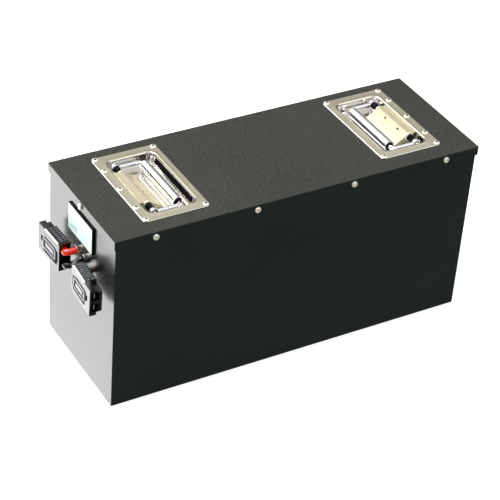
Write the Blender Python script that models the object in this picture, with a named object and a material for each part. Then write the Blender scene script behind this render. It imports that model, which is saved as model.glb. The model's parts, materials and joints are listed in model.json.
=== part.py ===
"""Sheet-steel battery pack with a screwed lid, two recessed sprung bail handles,
a small display meter and two genderless two-pole connectors on short leads.

Origin at the centre of the underside. +X runs along the length, away from the
display end, -Y is the front long side and +Z is up. All sizes are in metres.
"""
import math

import bmesh
import bpy
from mathutils import Matrix, Vector

# ---------------------------------------------------------------- driving sizes
BODY_LENGTH = 0.520
BODY_WIDTH = 0.1844
TOTAL_HEIGHT = 0.2541          # floor to the lid's flat top
SHEET = 0.0015                 # steel sheet of tub and lid
GAP = 0.0003                   # clearance between pieces that rest on each other
LID_OVERHANG = 0.0022
LID_SKIRT = 0.0133
LID_EDGE = 0.0012              # folded edge radius
FLANGE_WIDTH = 0.010
GASKET_THICK = 0.0014

# lid screws
SCREW_SHANK = 0.0040
SCREW_HOLE = 0.0048
SCREW_HEAD = 0.0080
SCREW_HEAD_HIGH = 0.0026
SCREW_LENGTH = 0.0080
SCREW_PITCH = 0.1396
SCREW_SHIFT = 0.0016
SCREW_DROP = 0.0070
END_SCREW_Y = -0.0008

# recessed handles, in each handle's own frame: +x towards the grip
HANDLE_CENTRES = {"left": (-0.1673, 0.0020, 1), "right": (0.1735, 0.0038, -1)}
PLATE_HALF = (0.0455, 0.0752)
PLATE_CORNER = 0.006
PLATE_THICK = 0.0012
DISH_CENTRE = 0.0015
DISH_HALF = (0.0325, 0.0610)
DISH_CORNER = 0.0095
DISH_DEPTH = 0.0140
HINGE_X = -0.0210
HINGE_DROP = 0.0059            # hinge axis below the plate's top face
GRIP_X = 0.0155
GRIP_RADIUS = 0.0072
GRIP_BORE = 0.0036
GRIP_HALF = 0.0450
ROD_RADIUS = 0.0029
ARM_Y = 0.0525
ARM_BEND = 0.0075
EYE_RADIUS = 0.0055
EYE_BORE = 0.0029
EYE_WIDTH = 0.0050
PIN_RADIUS = 0.0025
PIN_HALF = 0.0565
COVER_FOOT = (-0.0258, 0.0015)  # cover's reach over the dish floor
COVER_TOP = (-0.0292, -0.0195)
COVER_HALF = 0.0365
COVER_DROP = 0.0012            # cover face below the plate
SPRING_RADIUS = 0.0045
SPRING_BORE = 0.0029

# display meter
METER_CENTRE = (-0.0022, 0.2158)
METER_FACE = (0.0682, 0.0388)
METER_PROUD = 0.0032
METER_BODY = (0.0610, 0.0310)
METER_DEPTH = 0.0150
WINDOW_SIZE = (0.0652, 0.0354)
WINDOW_THICK = 0.0009

# connectors and leads
HOUSING_LENGTH = 0.0555
HOUSING_HEIGHT = 0.0400
HOUSING_THICK = 0.0165
HOUSING_X = -0.2760
POLE_PITCH = 0.0200
LEAD_DIAMETER = 0.0090
HOUSING_BORE = 0.0108
GLAND_MIDDLE = (-0.0055, 0.1690)
GLAND_PITCH = 0.0200
GLAND_RING = 0.0066
GLAND_NECK = 0.0057
GLAND_BORE = 0.0049
GLAND_PROUD = 0.0048
GLAND_PLATE = (0.0340, 0.0340, 0.0020)
CONNECTORS = {                 # rear face y, middle height there, direction, yaw off the wall, droop
    "rear": (0.0130, 0.1668, 1, math.radians(2.5), math.radians(-1.0)),
    "front": (-0.0250, 0.1640, -1, math.radians(2.5), math.radians(2.5)),
}

# cell stack
CELL_COUNT = 8
CELL_SIZE = (0.0540, 0.1736, 0.2000)
CELL_SPACING = 0.0546
CELL_BASE = 0.0061
STACK_RIGHT = 0.2514
POST_RADIUS = 0.0080
POST_HIGH = 0.0030
POST_Y = 0.0600
END_PLATE_THICK = 0.0060
STACK_TOP = 0.2157             # top edge of the end plates

HALF_LENGTH = BODY_LENGTH / 2
HALF_WIDTH = BODY_WIDTH / 2
LID_UNDER = TOTAL_HEIGHT - SHEET
TUB_TOP = LID_UNDER - GASKET_THICK - 2 * GAP
PLATE_TOP = TOTAL_HEIGHT + GAP + PLATE_THICK
DISH_FLOOR = PLATE_TOP - DISH_DEPTH
HINGE_Z = PLATE_TOP - HINGE_DROP
CORNER_STEPS = 4


# ---------------------------------------------------------------- finishes
def finish(name, colour, roughness, metallic):
    """Return a plain Principled material."""
    material = bpy.data.materials.new(name)
    material.use_nodes = True
    shader = material.node_tree.nodes["Principled BSDF"]
    shader.inputs["Base Color"].default_value = (*colour, 1.0)
    shader.inputs["Roughness"].default_value = roughness
    shader.inputs["Metallic"].default_value = metallic
    return material


def make_finishes():
    """Return every finish by name."""
    return {
        "black_steel": finish("black_powder_coat", (0.018, 0.020, 0.019), 0.45, 0.0),
        "plated_steel": finish("zinc_plated_steel", (0.72, 0.68, 0.58), 0.25, 1.0),
        "bright_steel": finish("bright_plated_steel", (0.80, 0.80, 0.80), 0.12, 1.0),
        "spring_steel": finish("spring_steel", (0.10, 0.10, 0.11), 0.35, 1.0),
        "black_plastic": finish("black_polycarbonate", (0.012, 0.012, 0.013), 0.35, 0.0),
        "display_glass": finish("display_window", (0.82, 0.93, 0.91), 0.15, 0.0),
        "red_silicone": finish("red_silicone", (0.62, 0.05, 0.02), 0.35, 0.0),
        "black_silicone": finish("black_silicone", (0.02, 0.02, 0.02), 0.30, 0.0),
        "rubber": finish("black_rubber", (0.02, 0.02, 0.02), 0.70, 0.0),
        "foam": finish("grey_foam", (0.12, 0.12, 0.12), 0.95, 0.0),
        "cell_case": finish("cell_blue_film", (0.02, 0.12, 0.35), 0.30, 0.0),
        "aluminium": finish("aluminium", (0.75, 0.76, 0.77), 0.35, 1.0),
        "copper": finish("copper", (0.75, 0.36, 0.20), 0.30, 1.0),
        "board": finish("epoxy_board", (0.45, 0.50, 0.25), 0.60, 0.0),
    }


# ---------------------------------------------------------------- mesh helpers
def add_object(name, mesh_edit, material):
    """Turn a bmesh into a named object with one material."""
    bmesh.ops.recalc_face_normals(mesh_edit, faces=mesh_edit.faces)
    mesh = bpy.data.meshes.new(name)
    mesh_edit.to_mesh(mesh)
    mesh_edit.free()
    mesh.materials.append(material)
    thing = bpy.data.objects.new(name, mesh)
    bpy.context.scene.collection.objects.link(thing)
    return thing


def as_cutter(thing):
    """Hide a piece that only shapes another one."""
    thing.hide_render = True
    thing.display_type = 'WIRE'
    return thing


def combine(thing, other, operation):
    """Cut or join one piece with another by an exact Boolean."""
    modifier = thing.modifiers.new(operation.lower(), 'BOOLEAN')
    modifier.operation = operation
    modifier.solver = 'EXACT'
    modifier.object = as_cutter(other)
    return thing


def box(name, low, high, material, bevel=0.0):
    """Return a box between two corners, its edges chamfered if asked."""
    mesh_edit = bmesh.new()
    size = Vector(high) - Vector(low)
    centre = (Vector(high) + Vector(low)) / 2
    bmesh.ops.create_cube(mesh_edit, size=1.0, matrix=Matrix.Translation(centre) @ Matrix.Diagonal((*size, 1.0)))
    if bevel:
        bmesh.ops.bevel(mesh_edit, geom=list(mesh_edit.edges), offset=bevel, segments=1, affect='EDGES')
    return add_object(name, mesh_edit, material)


def box_at(name, centre, size, material, bevel=0.0):
    """Return a box by its centre and size."""
    half = Vector(size) / 2
    return box(name, Vector(centre) - half, Vector(centre) + half, material, bevel)


def rounded_outline(half_x, half_y, radius, centre=(0.0, 0.0)):
    """Return a rounded rectangle's points, counter-clockwise."""
    points = []
    corners = ((1, 1, 0), (-1, 1, 90), (-1, -1, 180), (1, -1, 270))
    for sign_x, sign_y, start in corners:
        for step in range(CORNER_STEPS + 1):
            angle = math.radians(start + 90 * step / CORNER_STEPS)
            x = centre[0] + sign_x * (half_x - radius) + radius * math.cos(angle)
            y = centre[1] + sign_y * (half_y - radius) + radius * math.sin(angle)
            points.append((x, y))
    return points


def circle_outline(radius, sides, centre=(0.0, 0.0)):
    """Return a circle's points, counter-clockwise."""
    turns = (2 * math.pi * (step + 0.5) / sides for step in range(sides))
    return [(centre[0] + radius * math.cos(turn), centre[1] + radius * math.sin(turn)) for turn in turns]


def loft(name, rings, material, close_start=True, close_end=True):
    """Join rings of equally many points with quads, and cap the ends."""
    mesh_edit = bmesh.new()
    loops = [[mesh_edit.verts.new(point) for point in ring] for ring in rings]
    for low, high in zip(loops, loops[1:]):
        for index in range(len(low)):
            after = (index + 1) % len(low)
            mesh_edit.faces.new((low[index], low[after], high[after], high[index]))
    if close_start:
        mesh_edit.faces.new(loops[0][::-1])
    if close_end:
        mesh_edit.faces.new(loops[-1])
    return add_object(name, mesh_edit, material)


def turned(name, profile, origin, direction, material, sides=16):
    """Return a turned solid: (radius, height) pairs along a direction."""
    turn = Vector((0, 0, 1)).rotation_difference(Vector(direction)).to_matrix()
    rings = []
    for radius, height in profile:
        ring = circle_outline(radius, sides)
        rings.append([Vector(origin) + turn @ Vector((x, y, height)) for x, y in ring])
    return loft(name, rings, material)


def rod(name, start, end, radius, material, sides=16):
    """Return a plain round bar between two points."""
    along = Vector(end) - Vector(start)
    return turned(name, [(radius, 0.0), (radius, along.length)], start, along, material, sides)


def smooth_points(route, spacing):
    """Return evenly spaced points on a smooth curve through a route."""
    route = [Vector(point) for point in route]
    padded = [2 * route[0] - route[1], *route, 2 * route[-1] - route[-2]]
    fine = []
    for index in range(len(route) - 1):
        before, start, end, after = padded[index:index + 4]
        for step in range(24):
            t = step / 24
            fine.append(0.5 * (2 * start + (end - before) * t
                               + (2 * before - 5 * start + 4 * end - after) * t ** 2
                               + (3 * start - before - 3 * end + after) * t ** 3))
    fine.append(route[-1])
    length = sum((b - a).length for a, b in zip(fine, fine[1:]))
    count = max(4, round(length / spacing))
    points = [fine[0]]
    walked = 0.0
    for a, b in zip(fine, fine[1:]):
        walked += (b - a).length
        if walked >= length * len(points) / count - 1e-9 and len(points) < count:
            points.append(b)
    points.append(fine[-1])
    return points


def cable(name, route, diameter, material, spacing):
    """Return a round cable as a curve with filled ends, a point every so many diameters."""
    curve = bpy.data.curves.new(name, 'CURVE')
    curve.dimensions = '3D'
    curve.bevel_depth = diameter / 2
    curve.bevel_resolution = 2
    curve.use_fill_caps = True
    points = smooth_points(route, diameter * spacing)
    spline = curve.splines.new('POLY')
    spline.points.add(len(points) - 1)
    for target, point in zip(spline.points, points):
        target.co = (*point, 1.0)
    curve.materials.append(material)
    thing = bpy.data.objects.new(name, curve)
    bpy.context.scene.collection.objects.link(thing)
    return thing


def sweep(name, path, radius, material, sides=10):
    """Return a round bar bent along a path in a flat plane, normal to +Z."""
    path = [Vector(point) for point in path]
    rings = []
    for index, point in enumerate(path):
        before = path[max(index - 1, 0)]
        after = path[min(index + 1, len(path) - 1)]
        along = (after - before).normalized()
        across = Vector((0, 0, 1)).cross(along)
        ring = circle_outline(radius, sides)
        rings.append([point + across * x + Vector((0, 0, 1)) * y for x, y in ring])
    return loft(name, rings, material)


# ---------------------------------------------------------------- case and lid
def lead_exits():
    """Return the wall exits of the leads, (connector, upper or lower) to (y, z)."""
    exits = {}
    for key, (_, _, direction, _, _) in CONNECTORS.items():
        for level in (1, -1):
            exits[key, level] = (GLAND_MIDDLE[0] + direction * GLAND_PITCH / 2, GLAND_MIDDLE[1] + level * GLAND_PITCH / 2)
    return exits


def screw_places():
    """Return each lid screw as (name, head seat, inward direction)."""
    height = TOTAL_HEIGHT - SCREW_DROP
    side = HALF_WIDTH + LID_OVERHANG + GAP
    end = HALF_LENGTH + LID_OVERHANG + GAP
    places = []
    for index in range(4):
        x = SCREW_SHIFT + (index - 1.5) * SCREW_PITCH
        places.append((f"lid_screw_front_{index + 1}", (x, -side, height), (0, 1, 0)))
        places.append((f"lid_screw_back_{index + 1}", (x, side, height), (0, -1, 0)))
    places.append(("lid_screw_left_end", (-end, END_SCREW_Y, height), (1, 0, 0)))
    places.append(("lid_screw_right_end", (end, END_SCREW_Y, height), (-1, 0, 0)))
    return places


def drill_screw_holes(thing, finishes):
    """Cut the clearance holes of all lid screws."""
    for name, seat, inward in screw_places():
        start = Vector(seat) - 0.002 * Vector(inward)
        end = Vector(seat) + 0.008 * Vector(inward)
        combine(thing, rod(f"cut_{thing.name}_{name}", start, end, SCREW_HOLE / 2, finishes["rubber"], 12), 'DIFFERENCE')


def make_tub(finishes):
    """Make the folded tub: floor, four walls and an inward top flange."""
    half = Vector((HALF_LENGTH, HALF_WIDTH, 0))
    tub = box("case_body", (-half.x, -half.y, 0), (half.x, half.y, TUB_TOP), finishes["black_steel"])
    inner = box("cut_tub_inside", (-half.x + SHEET, -half.y + SHEET, SHEET),
                (half.x - SHEET, half.y - SHEET, TUB_TOP - SHEET), finishes["black_steel"])
    mouth = box("cut_tub_mouth", (-half.x + FLANGE_WIDTH, -half.y + FLANGE_WIDTH, TUB_TOP - 2 * SHEET),
                (half.x - FLANGE_WIDTH, half.y - FLANGE_WIDTH, TUB_TOP + SHEET), finishes["black_steel"])
    window = box_at("cut_meter_hole", (-half.x, *METER_CENTRE),
                    (0.010, METER_BODY[0] + 4 * GAP, METER_BODY[1] + 4 * GAP), finishes["black_steel"])
    for cutter in (inner, mouth, window):
        combine(tub, cutter, 'DIFFERENCE')
    for index, (y, z) in enumerate(lead_exits().values()):
        combine(tub, rod(f"cut_gland_hole_{index}", (-half.x - 0.005, y, z), (-half.x + 0.005, y, z),
                         GLAND_NECK + GAP, finishes["rubber"], 16), 'DIFFERENCE')
    drill_screw_holes(tub, finishes)


def make_lid(finishes):
    """Make the folded lid with its two dish openings."""
    x = HALF_LENGTH + LID_OVERHANG
    y = HALF_WIDTH + LID_OVERHANG
    lid = box("lid", (-x, -y, TOTAL_HEIGHT - LID_SKIRT), (x, y, TOTAL_HEIGHT), finishes["black_steel"], LID_EDGE / 2)
    inner = box("cut_lid_inside", (-x + SHEET, -y + SHEET, TOTAL_HEIGHT - LID_SKIRT - SHEET),
                (x - SHEET, y - SHEET, LID_UNDER), finishes["black_steel"])
    combine(lid, inner, 'DIFFERENCE')
    for side, (centre_x, centre_y, facing) in HANDLE_CENTRES.items():
        outline = rounded_outline(DISH_HALF[0] + 0.0036, DISH_HALF[1] + 0.0034, DISH_CORNER + 0.002,
                                  (centre_x + facing * DISH_CENTRE, centre_y))
        opening = loft(f"cut_lid_{side}", [[(px, py, z) for px, py in outline]
                                           for z in (LID_UNDER - 0.003, TOTAL_HEIGHT + 0.003)], finishes["rubber"])
        combine(lid, opening, 'DIFFERENCE')
    drill_screw_holes(lid, finishes)


def make_gasket(finishes):
    """Make the foam strip between tub flange and lid."""
    low = TUB_TOP + GAP
    x = HALF_LENGTH - 0.0008
    y = HALF_WIDTH - 0.0008
    gasket = box("lid_gasket", (-x, -y, low), (x, y, low + GASKET_THICK), finishes["foam"])
    hole = box("cut_gasket", (-x + 0.008, -y + 0.008, low - 0.001), (x - 0.008, y - 0.008, low + 0.004), finishes["foam"])
    combine(gasket, hole, 'DIFFERENCE')


def make_screws(finishes):
    """Make the pan-head machine screws that hold the lid."""
    head = SCREW_HEAD / 2
    profile = [(head * 0.55, -SCREW_HEAD_HIGH), (head * 0.86, -SCREW_HEAD_HIGH * 0.78), (head, -SCREW_HEAD_HIGH * 0.35),
               (head, 0.0), (SCREW_SHANK / 2, 0.0), (SCREW_SHANK / 2, SCREW_LENGTH - 0.0008),
               (SCREW_SHANK / 2 - 0.0006, SCREW_LENGTH)]
    for name, seat, inward in screw_places():
        turned(name, profile, seat, inward, finishes["bright_steel"], 14)


# ---------------------------------------------------------------- handles
def handle_place(side, x, y, z):
    """Place a point given in a handle's own frame."""
    centre_x, centre_y, facing = HANDLE_CENTRES[side]
    return Vector((centre_x + facing * x, centre_y + facing * y, z))


def handle_rod(side, name, x, y_low, y_high, radius, material, sides=14):
    """Return a round bar along a handle's hinge or grip line."""
    start = handle_place(side, x, y_low, HINGE_Z)
    end = handle_place(side, x, y_high, HINGE_Z)
    return rod(name, start, end, radius, material, sides)


def make_handle_plate(side, finishes):
    """Make the stamped plate with its sunk dish."""
    shape = [  # half sizes beyond the dish opening, height, corner radius
        (0.0030, 0.0030, PLATE_TOP, DISH_CORNER + 0.003),
        (0.0010, 0.0010, PLATE_TOP - 0.0007, DISH_CORNER + 0.001),
        (0.0, 0.0, PLATE_TOP - 0.0028, DISH_CORNER),
        (-0.0028, -0.0028, DISH_FLOOR + 0.0026, DISH_CORNER - 0.002),
        (-0.0036, -0.0036, DISH_FLOOR + 0.0007, DISH_CORNER - 0.003),
        (-0.0045, -0.0045, DISH_FLOOR, DISH_CORNER - 0.0035),
    ]
    rings = [[handle_place(side, x, y, PLATE_TOP) for x, y in rounded_outline(*PLATE_HALF, PLATE_CORNER)]]
    for more_x, more_y, height, radius in shape:
        outline = rounded_outline(DISH_HALF[0] + more_x, DISH_HALF[1] + more_y, radius, (DISH_CENTRE, 0.0))
        rings.append([handle_place(side, x, y, height) for x, y in outline])
    plate = loft(f"{side}_handle_plate", rings, finishes["plated_steel"], close_start=False)
    facing_up = any(face.normal.z > 0.9 for face in plate.data.polygons)
    wall = plate.modifiers.new("wall", 'SOLIDIFY')
    wall.thickness = PLATE_THICK
    wall.offset = -1.0 if facing_up else 1.0
    wall.use_even_offset = True


def make_hinge_cover(side, finishes):
    """Make the raised cover over the middle of the hinge pin."""
    low = DISH_FLOOR + GAP
    high = PLATE_TOP - COVER_DROP
    wall = 0.0012

    def block(name, levels, inset):
        rings = []
        for (x_low, x_high), z in levels:
            outline = rounded_outline((x_high - x_low) / 2 - inset, COVER_HALF - inset, 0.0015, ((x_low + x_high) / 2, 0.0))
            rings.append([handle_place(side, x, y, z) for x, y in outline])
        return loft(name, rings, finishes["plated_steel"])

    cover = block(f"{side}_hinge_cover", ((COVER_FOOT, low), (COVER_TOP, high)), 0.0)
    inside = block(f"cut_{side}_cover_inside", ((COVER_FOOT, low - 0.002), (COVER_TOP, high - wall)), wall)
    combine(cover, inside, 'DIFFERENCE')
    bore = handle_rod(side, f"cut_{side}_cover_bore", HINGE_X, -COVER_HALF - 0.004, COVER_HALF + 0.004,
                      PIN_RADIUS + GAP, finishes["rubber"])
    combine(cover, bore, 'DIFFERENCE')


def make_bail(side, finishes):
    """Make the bent rod with an eye at each end of its arms."""
    bend = []
    for step in range(7):
        angle = math.radians(90 * step / 6)
        bend.append((GRIP_X - ARM_BEND + ARM_BEND * math.sin(angle), ARM_Y - ARM_BEND + ARM_BEND * math.cos(angle)))
    start = (HINGE_X + (EYE_RADIUS + EYE_BORE) / 2, ARM_Y)
    half = [start, *bend]
    path = half + [(x, -y) for x, y in reversed(half)]
    bail = sweep(f"{side}_bail", [handle_place(side, x, y, HINGE_Z) for x, y in path], ROD_RADIUS,
                 finishes["bright_steel"])
    for name, middle in (("far", ARM_Y), ("near", -ARM_Y)):
        eye = handle_rod(side, f"join_{side}_eye_{name}", HINGE_X, middle - EYE_WIDTH / 2, middle + EYE_WIDTH / 2,
                         EYE_RADIUS, finishes["bright_steel"], 16)
        combine(bail, eye, 'UNION')
    for name, middle in (("far", ARM_Y), ("near", -ARM_Y)):
        bore = handle_rod(side, f"cut_{side}_eye_{name}", HINGE_X, middle - EYE_WIDTH, middle + EYE_WIDTH,
                          EYE_BORE, finishes["bright_steel"], 14)
        combine(bail, bore, 'DIFFERENCE')


def make_sleeve(side, name, x, y_low, y_high, outer, inner, material, sides=16):
    """Make a hollow sleeve along the hinge or grip line."""
    sleeve = handle_rod(side, name, x, y_low, y_high, outer, material, sides)
    bore = handle_rod(side, f"cut_{name}", x, y_low - 0.002, y_high + 0.002, inner, material, sides)
    combine(sleeve, bore, 'DIFFERENCE')


def make_handle(side, finishes):
    """Make one complete recessed handle."""
    make_handle_plate(side, finishes)
    make_hinge_cover(side, finishes)
    make_bail(side, finishes)
    handle_rod(side, f"{side}_hinge_pin", HINGE_X, -PIN_HALF, PIN_HALF, PIN_RADIUS, finishes["bright_steel"])
    make_sleeve(side, f"{side}_grip", GRIP_X, -GRIP_HALF, GRIP_HALF, GRIP_RADIUS, GRIP_BORE, finishes["bright_steel"])
    spring_start = COVER_HALF + GAP
    spring_end = ARM_Y - EYE_WIDTH / 2 - GAP
    for name, sign in (("inner", 1), ("outer", -1)):
        low, high = sorted((sign * spring_start, sign * spring_end))
        make_sleeve(side, f"{side}_torsion_spring_{name}", HINGE_X, low, high, SPRING_RADIUS, SPRING_BORE,
                    finishes["spring_steel"], 12)


# ---------------------------------------------------------------- meter, leads, connectors
def make_meter(finishes):
    """Make the display's housing with its snap-in body, and its window."""
    wall_x = -HALF_LENGTH - GAP
    face_x = wall_x - METER_PROUD
    bezel = box("meter_housing", (face_x, METER_CENTRE[0] - METER_FACE[0] / 2, METER_CENTRE[1] - METER_FACE[1] / 2),
                (wall_x, METER_CENTRE[0] + METER_FACE[0] / 2, METER_CENTRE[1] + METER_FACE[1] / 2),
                finishes["black_plastic"], 0.0006)
    back = box_at("join_meter_back", (wall_x + METER_DEPTH / 2 - 0.0005, *METER_CENTRE),
                  (METER_DEPTH + 0.001, *METER_BODY), finishes["black_plastic"])
    recess = box_at("cut_meter_recess", (face_x, *METER_CENTRE),
                    (2 * (WINDOW_THICK + GAP), WINDOW_SIZE[0] + 2 * GAP, WINDOW_SIZE[1] + 2 * GAP),
                    finishes["black_plastic"])
    combine(bezel, back, 'UNION')
    combine(bezel, recess, 'DIFFERENCE')
    box_at("meter_window", (face_x + WINDOW_THICK / 2, *METER_CENTRE), (WINDOW_THICK, *WINDOW_SIZE),
           finishes["display_glass"])


def make_glands(finishes):
    """Make the four-way gland: a ring outside for each lead, one clamping plate inside."""
    inside_x = -HALF_LENGTH + SHEET + GAP
    low, wide, thick = -HALF_LENGTH - GAP, GLAND_PLATE[0] / 2, GLAND_PLATE[2]
    outline = rounded_outline(wide, GLAND_PLATE[1] / 2, 0.006, GLAND_MIDDLE)
    glands = loft("lead_glands", [[(x, y, z) for y, z in outline] for x in (inside_x, inside_x + thick)],
                  finishes["bright_steel"])
    profile = [(GLAND_RING - 0.0008, -GLAND_PROUD), (GLAND_RING, -GLAND_PROUD + 0.0008), (GLAND_RING, 0.0),
               (GLAND_NECK, 0.0), (GLAND_NECK, SHEET + 2 * GAP + thick / 2)]
    for index, (y, z) in enumerate(lead_exits().values()):
        combine(glands, turned(f"join_gland_{index}", profile, (low, y, z), (1, 0, 0), finishes["bright_steel"], 16),
                'UNION')
    for index, (y, z) in enumerate(lead_exits().values()):
        combine(glands, rod(f"cut_gland_{index}", (low - 0.010, y, z), (low + 0.010, y, z), GLAND_BORE,
                            finishes["rubber"], 16), 'DIFFERENCE')


def connector_place(key, along, across, up):
    """Place a point given in a connector's own frame: along its nose, across, up."""
    rear_y, middle_z, direction, yaw, droop = CONNECTORS[key]
    level = along * math.cos(droop) + up * math.sin(droop)
    height = up * math.cos(droop) - along * math.sin(droop)
    x = HOUSING_X + across * math.cos(yaw) - level * math.sin(yaw)
    return Vector((x, rear_y + direction * (level * math.cos(yaw) + across * math.sin(yaw)), middle_z + height))


def connector_prism(key, name, outline, along_low, along_high, material):
    """Return a prism whose outline lies across the connector's length."""
    rings = [[connector_place(key, along, across, up) for across, up in outline] for along in (along_low, along_high)]
    return loft(name, rings, material)


def make_connector(key, finishes):
    """Make a genderless two-pole housing: rear lead bores, stepped nose, contact mouths."""
    half_t = HOUSING_THICK / 2
    half_h = HOUSING_HEIGHT / 2
    plastic = finishes["black_plastic"]
    body = rounded_outline(half_t, half_h, 0.0012)
    housing = connector_prism(key, f"{key}_connector_housing", body, 0.0, HOUSING_LENGTH, plastic)
    step_length = 0.0170
    for name, low, high in (("upper", 0.0068, half_h + 0.001), ("lower", -half_h - 0.001, -0.0068)):
        notch = [(0.0012, low), (half_t + 0.001, low), (half_t + 0.001, high), (0.0012, high)]
        if name == "upper":
            notch = [(x, z + 0.0085) for x, z in notch]
        else:
            notch = [(x, z - 0.0085) for x, z in notch]
        combine(housing, connector_prism(key, f"cut_{key}_step_{name}", notch, HOUSING_LENGTH - step_length,
                                         HOUSING_LENGTH + 0.002, plastic), 'DIFFERENCE')
    for name, middle in (("upper", POLE_PITCH / 2), ("lower", -POLE_PITCH / 2)):
        mouth = rounded_outline(0.0052, 0.0062, 0.0010, (-0.0008, middle * 0.86))
        combine(housing, connector_prism(key, f"cut_{key}_mouth_{name}", mouth, HOUSING_LENGTH - 0.024,
                                         HOUSING_LENGTH + 0.002, plastic), 'DIFFERENCE')
        bore = circle_outline(HOUSING_BORE / 2, 14, (0.0, middle))
        combine(housing, connector_prism(key, f"cut_{key}_bore_{name}", bore, -0.002, 0.0165, plastic), 'DIFFERENCE')


def lead_route(key, level):
    """Return a lead's route from inside the wall, round its bend and into a connector bore."""
    exit_y, exit_z = lead_exits()[key, level]
    direction = CONNECTORS[key][2]
    inside, deep, mouth = (connector_place(key, along, 0.0, level * POLE_PITCH / 2) for along in (0.0155, 0.0070, -0.0010))
    drop = mouth.z - exit_z
    bulge = 0.0190 if (key, level) == ("rear", 1) else 0.0172
    wall_x = -HALF_LENGTH
    return [(wall_x + 0.0150, exit_y, exit_z), (wall_x + 0.0020, exit_y, exit_z), (wall_x - 0.0065, exit_y, exit_z),
            (wall_x - 0.0143, exit_y + direction * 0.0011, exit_z + 0.30 * drop),
            (wall_x - bulge, exit_y + direction * 0.0042, exit_z + 0.70 * drop), mouth, deep, inside]


def make_leads(finishes):
    """Make the four short leads, each pole of both connectors."""
    plan = [("red_lead_rear", "rear", 1, "red_silicone"), ("black_lead_rear", "rear", -1, "black_silicone"),
            ("black_lead_front", "front", 1, "black_silicone"), ("red_lead_front", "front", -1, "red_silicone")]
    for name, key, level, colour in plan:
        cable(name, lead_route(key, level), LEAD_DIAMETER, finishes[colour], 0.5)


# ---------------------------------------------------------------- inside
def cell_middle(index):
    """Return the middle of a cell along the length, counted from the right."""
    return STACK_RIGHT - CELL_SIZE[0] / 2 - index * CELL_SPACING


def make_cells(finishes):
    """Make the prismatic cells with their two terminal posts."""
    for index in range(CELL_COUNT):
        x = cell_middle(index)
        top = CELL_BASE + CELL_SIZE[2]
        cell = box_at(f"cell_{index + 1}", (x, 0, CELL_BASE + CELL_SIZE[2] / 2), CELL_SIZE, finishes["cell_case"], 0.0015)
        for name, y in (("far", POST_Y), ("near", -POST_Y)):
            post = rod(f"join_cell_{index + 1}_{name}", (x, y, top - 0.002), (x, y, top + POST_HIGH), POST_RADIUS,
                       finishes["aluminium"], 12)
            combine(cell, post, 'UNION')


def make_busbars(finishes):
    """Make the busbars that join neighbouring cells in series."""
    low = CELL_BASE + CELL_SIZE[2] + POST_HIGH + GAP
    for index in range(CELL_COUNT - 1):
        x = (cell_middle(index) + cell_middle(index + 1)) / 2
        y = POST_Y if index % 2 == 0 else -POST_Y
        box_at(f"busbar_{index + 1}", (x, y, low + 0.001), (CELL_SPACING + 0.018, 0.020, 0.002), finishes["copper"], 0.0004)


def make_stack_frame(finishes):
    """Make end plates, side boards, base pad and top board round the cells."""
    half_y = CELL_SIZE[1] / 2
    right = STACK_RIGHT + GAP
    left = cell_middle(CELL_COUNT - 1) - CELL_SIZE[0] / 2 - GAP
    box("end_plate_right", (right, -half_y, CELL_BASE), (right + END_PLATE_THICK, half_y, STACK_TOP),
        finishes["aluminium"], 0.0005)
    plate = box("end_plate_left", (left - END_PLATE_THICK, -half_y, CELL_BASE), (left, half_y, STACK_TOP),
                finishes["aluminium"], 0.0005)
    notch = box("cut_plate_notch", (left - 0.010, -0.008, 0.2055), (left + 0.004, 0.008, STACK_TOP + 0.004),
                finishes["aluminium"])
    combine(plate, notch, 'DIFFERENCE')
    box("base_pad", (left - END_PLATE_THICK, -half_y, SHEET + GAP), (right + END_PLATE_THICK, half_y, CELL_BASE - GAP),
        finishes["foam"])
    for name, sign in (("front", -1), ("rear", 1)):
        y_low, y_high = sorted((sign * (half_y + GAP), sign * (HALF_WIDTH - SHEET - GAP)))
        box(f"side_board_{name}", (left - END_PLATE_THICK, y_low, SHEET + GAP),
            (right + END_PLATE_THICK, y_high, STACK_TOP), finishes["board"])
    box("top_board", (left - END_PLATE_THICK, -half_y, STACK_TOP + GAP),
        (right + END_PLATE_THICK, half_y, STACK_TOP + GAP + 0.002), finishes["board"])
    return left - END_PLATE_THICK


def make_electronics(finishes, plate_x):
    """Make the protection module on the left end plate, and the internal cables."""
    module_back = plate_x - GAP
    module = box("protection_module", (module_back - 0.020, -0.050, 0.055), (module_back, 0.050, 0.195),
                 finishes["aluminium"], 0.001)
    for index in range(9):
        y = -0.040 + index * 0.010
        slot = box(f"cut_module_fin_{index}", (module_back - 0.022, y - 0.0022, 0.050),
                   (module_back - 0.014, y + 0.0022, 0.200), finishes["aluminium"])
        combine(module, slot, 'DIFFERENCE')
    positive_end = lead_exits()["rear", 1]
    negative_end = lead_exits()["rear", -1]
    post_x = cell_middle(0)
    run_z = 0.2109
    cable("internal_positive_cable",
          [(post_x, -POST_Y + 0.0125, run_z), (post_x - 0.010, -0.030, run_z), (post_x - 0.035, -0.006, run_z),
           (post_x - 0.060, 0.0, run_z), (0.080, 0.0, run_z), (0.0, 0.0, run_z), (-0.080, 0.0, run_z),
           (-0.150, 0.0, run_z), (plate_x - 0.010, 0.0, run_z), (plate_x - 0.026, 0.0, 0.2040),
           (plate_x - 0.036, 0.002, 0.1890), (-0.2360, *positive_end), (-0.2425, *positive_end)], LEAD_DIAMETER, finishes["red_silicone"], 1.2)
    face_x = module_back - 0.0208
    cable("internal_negative_cable",
          [(face_x, 0.0350, 0.1300), (face_x - 0.0075, 0.0350, 0.1305), (face_x - 0.0160, 0.0290, 0.1350),
           (face_x - 0.0200, 0.0160, 0.1460), (-0.2365, *negative_end), (-0.2425, *negative_end)],
          LEAD_DIAMETER, finishes["black_silicone"], 0.8)


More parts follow.
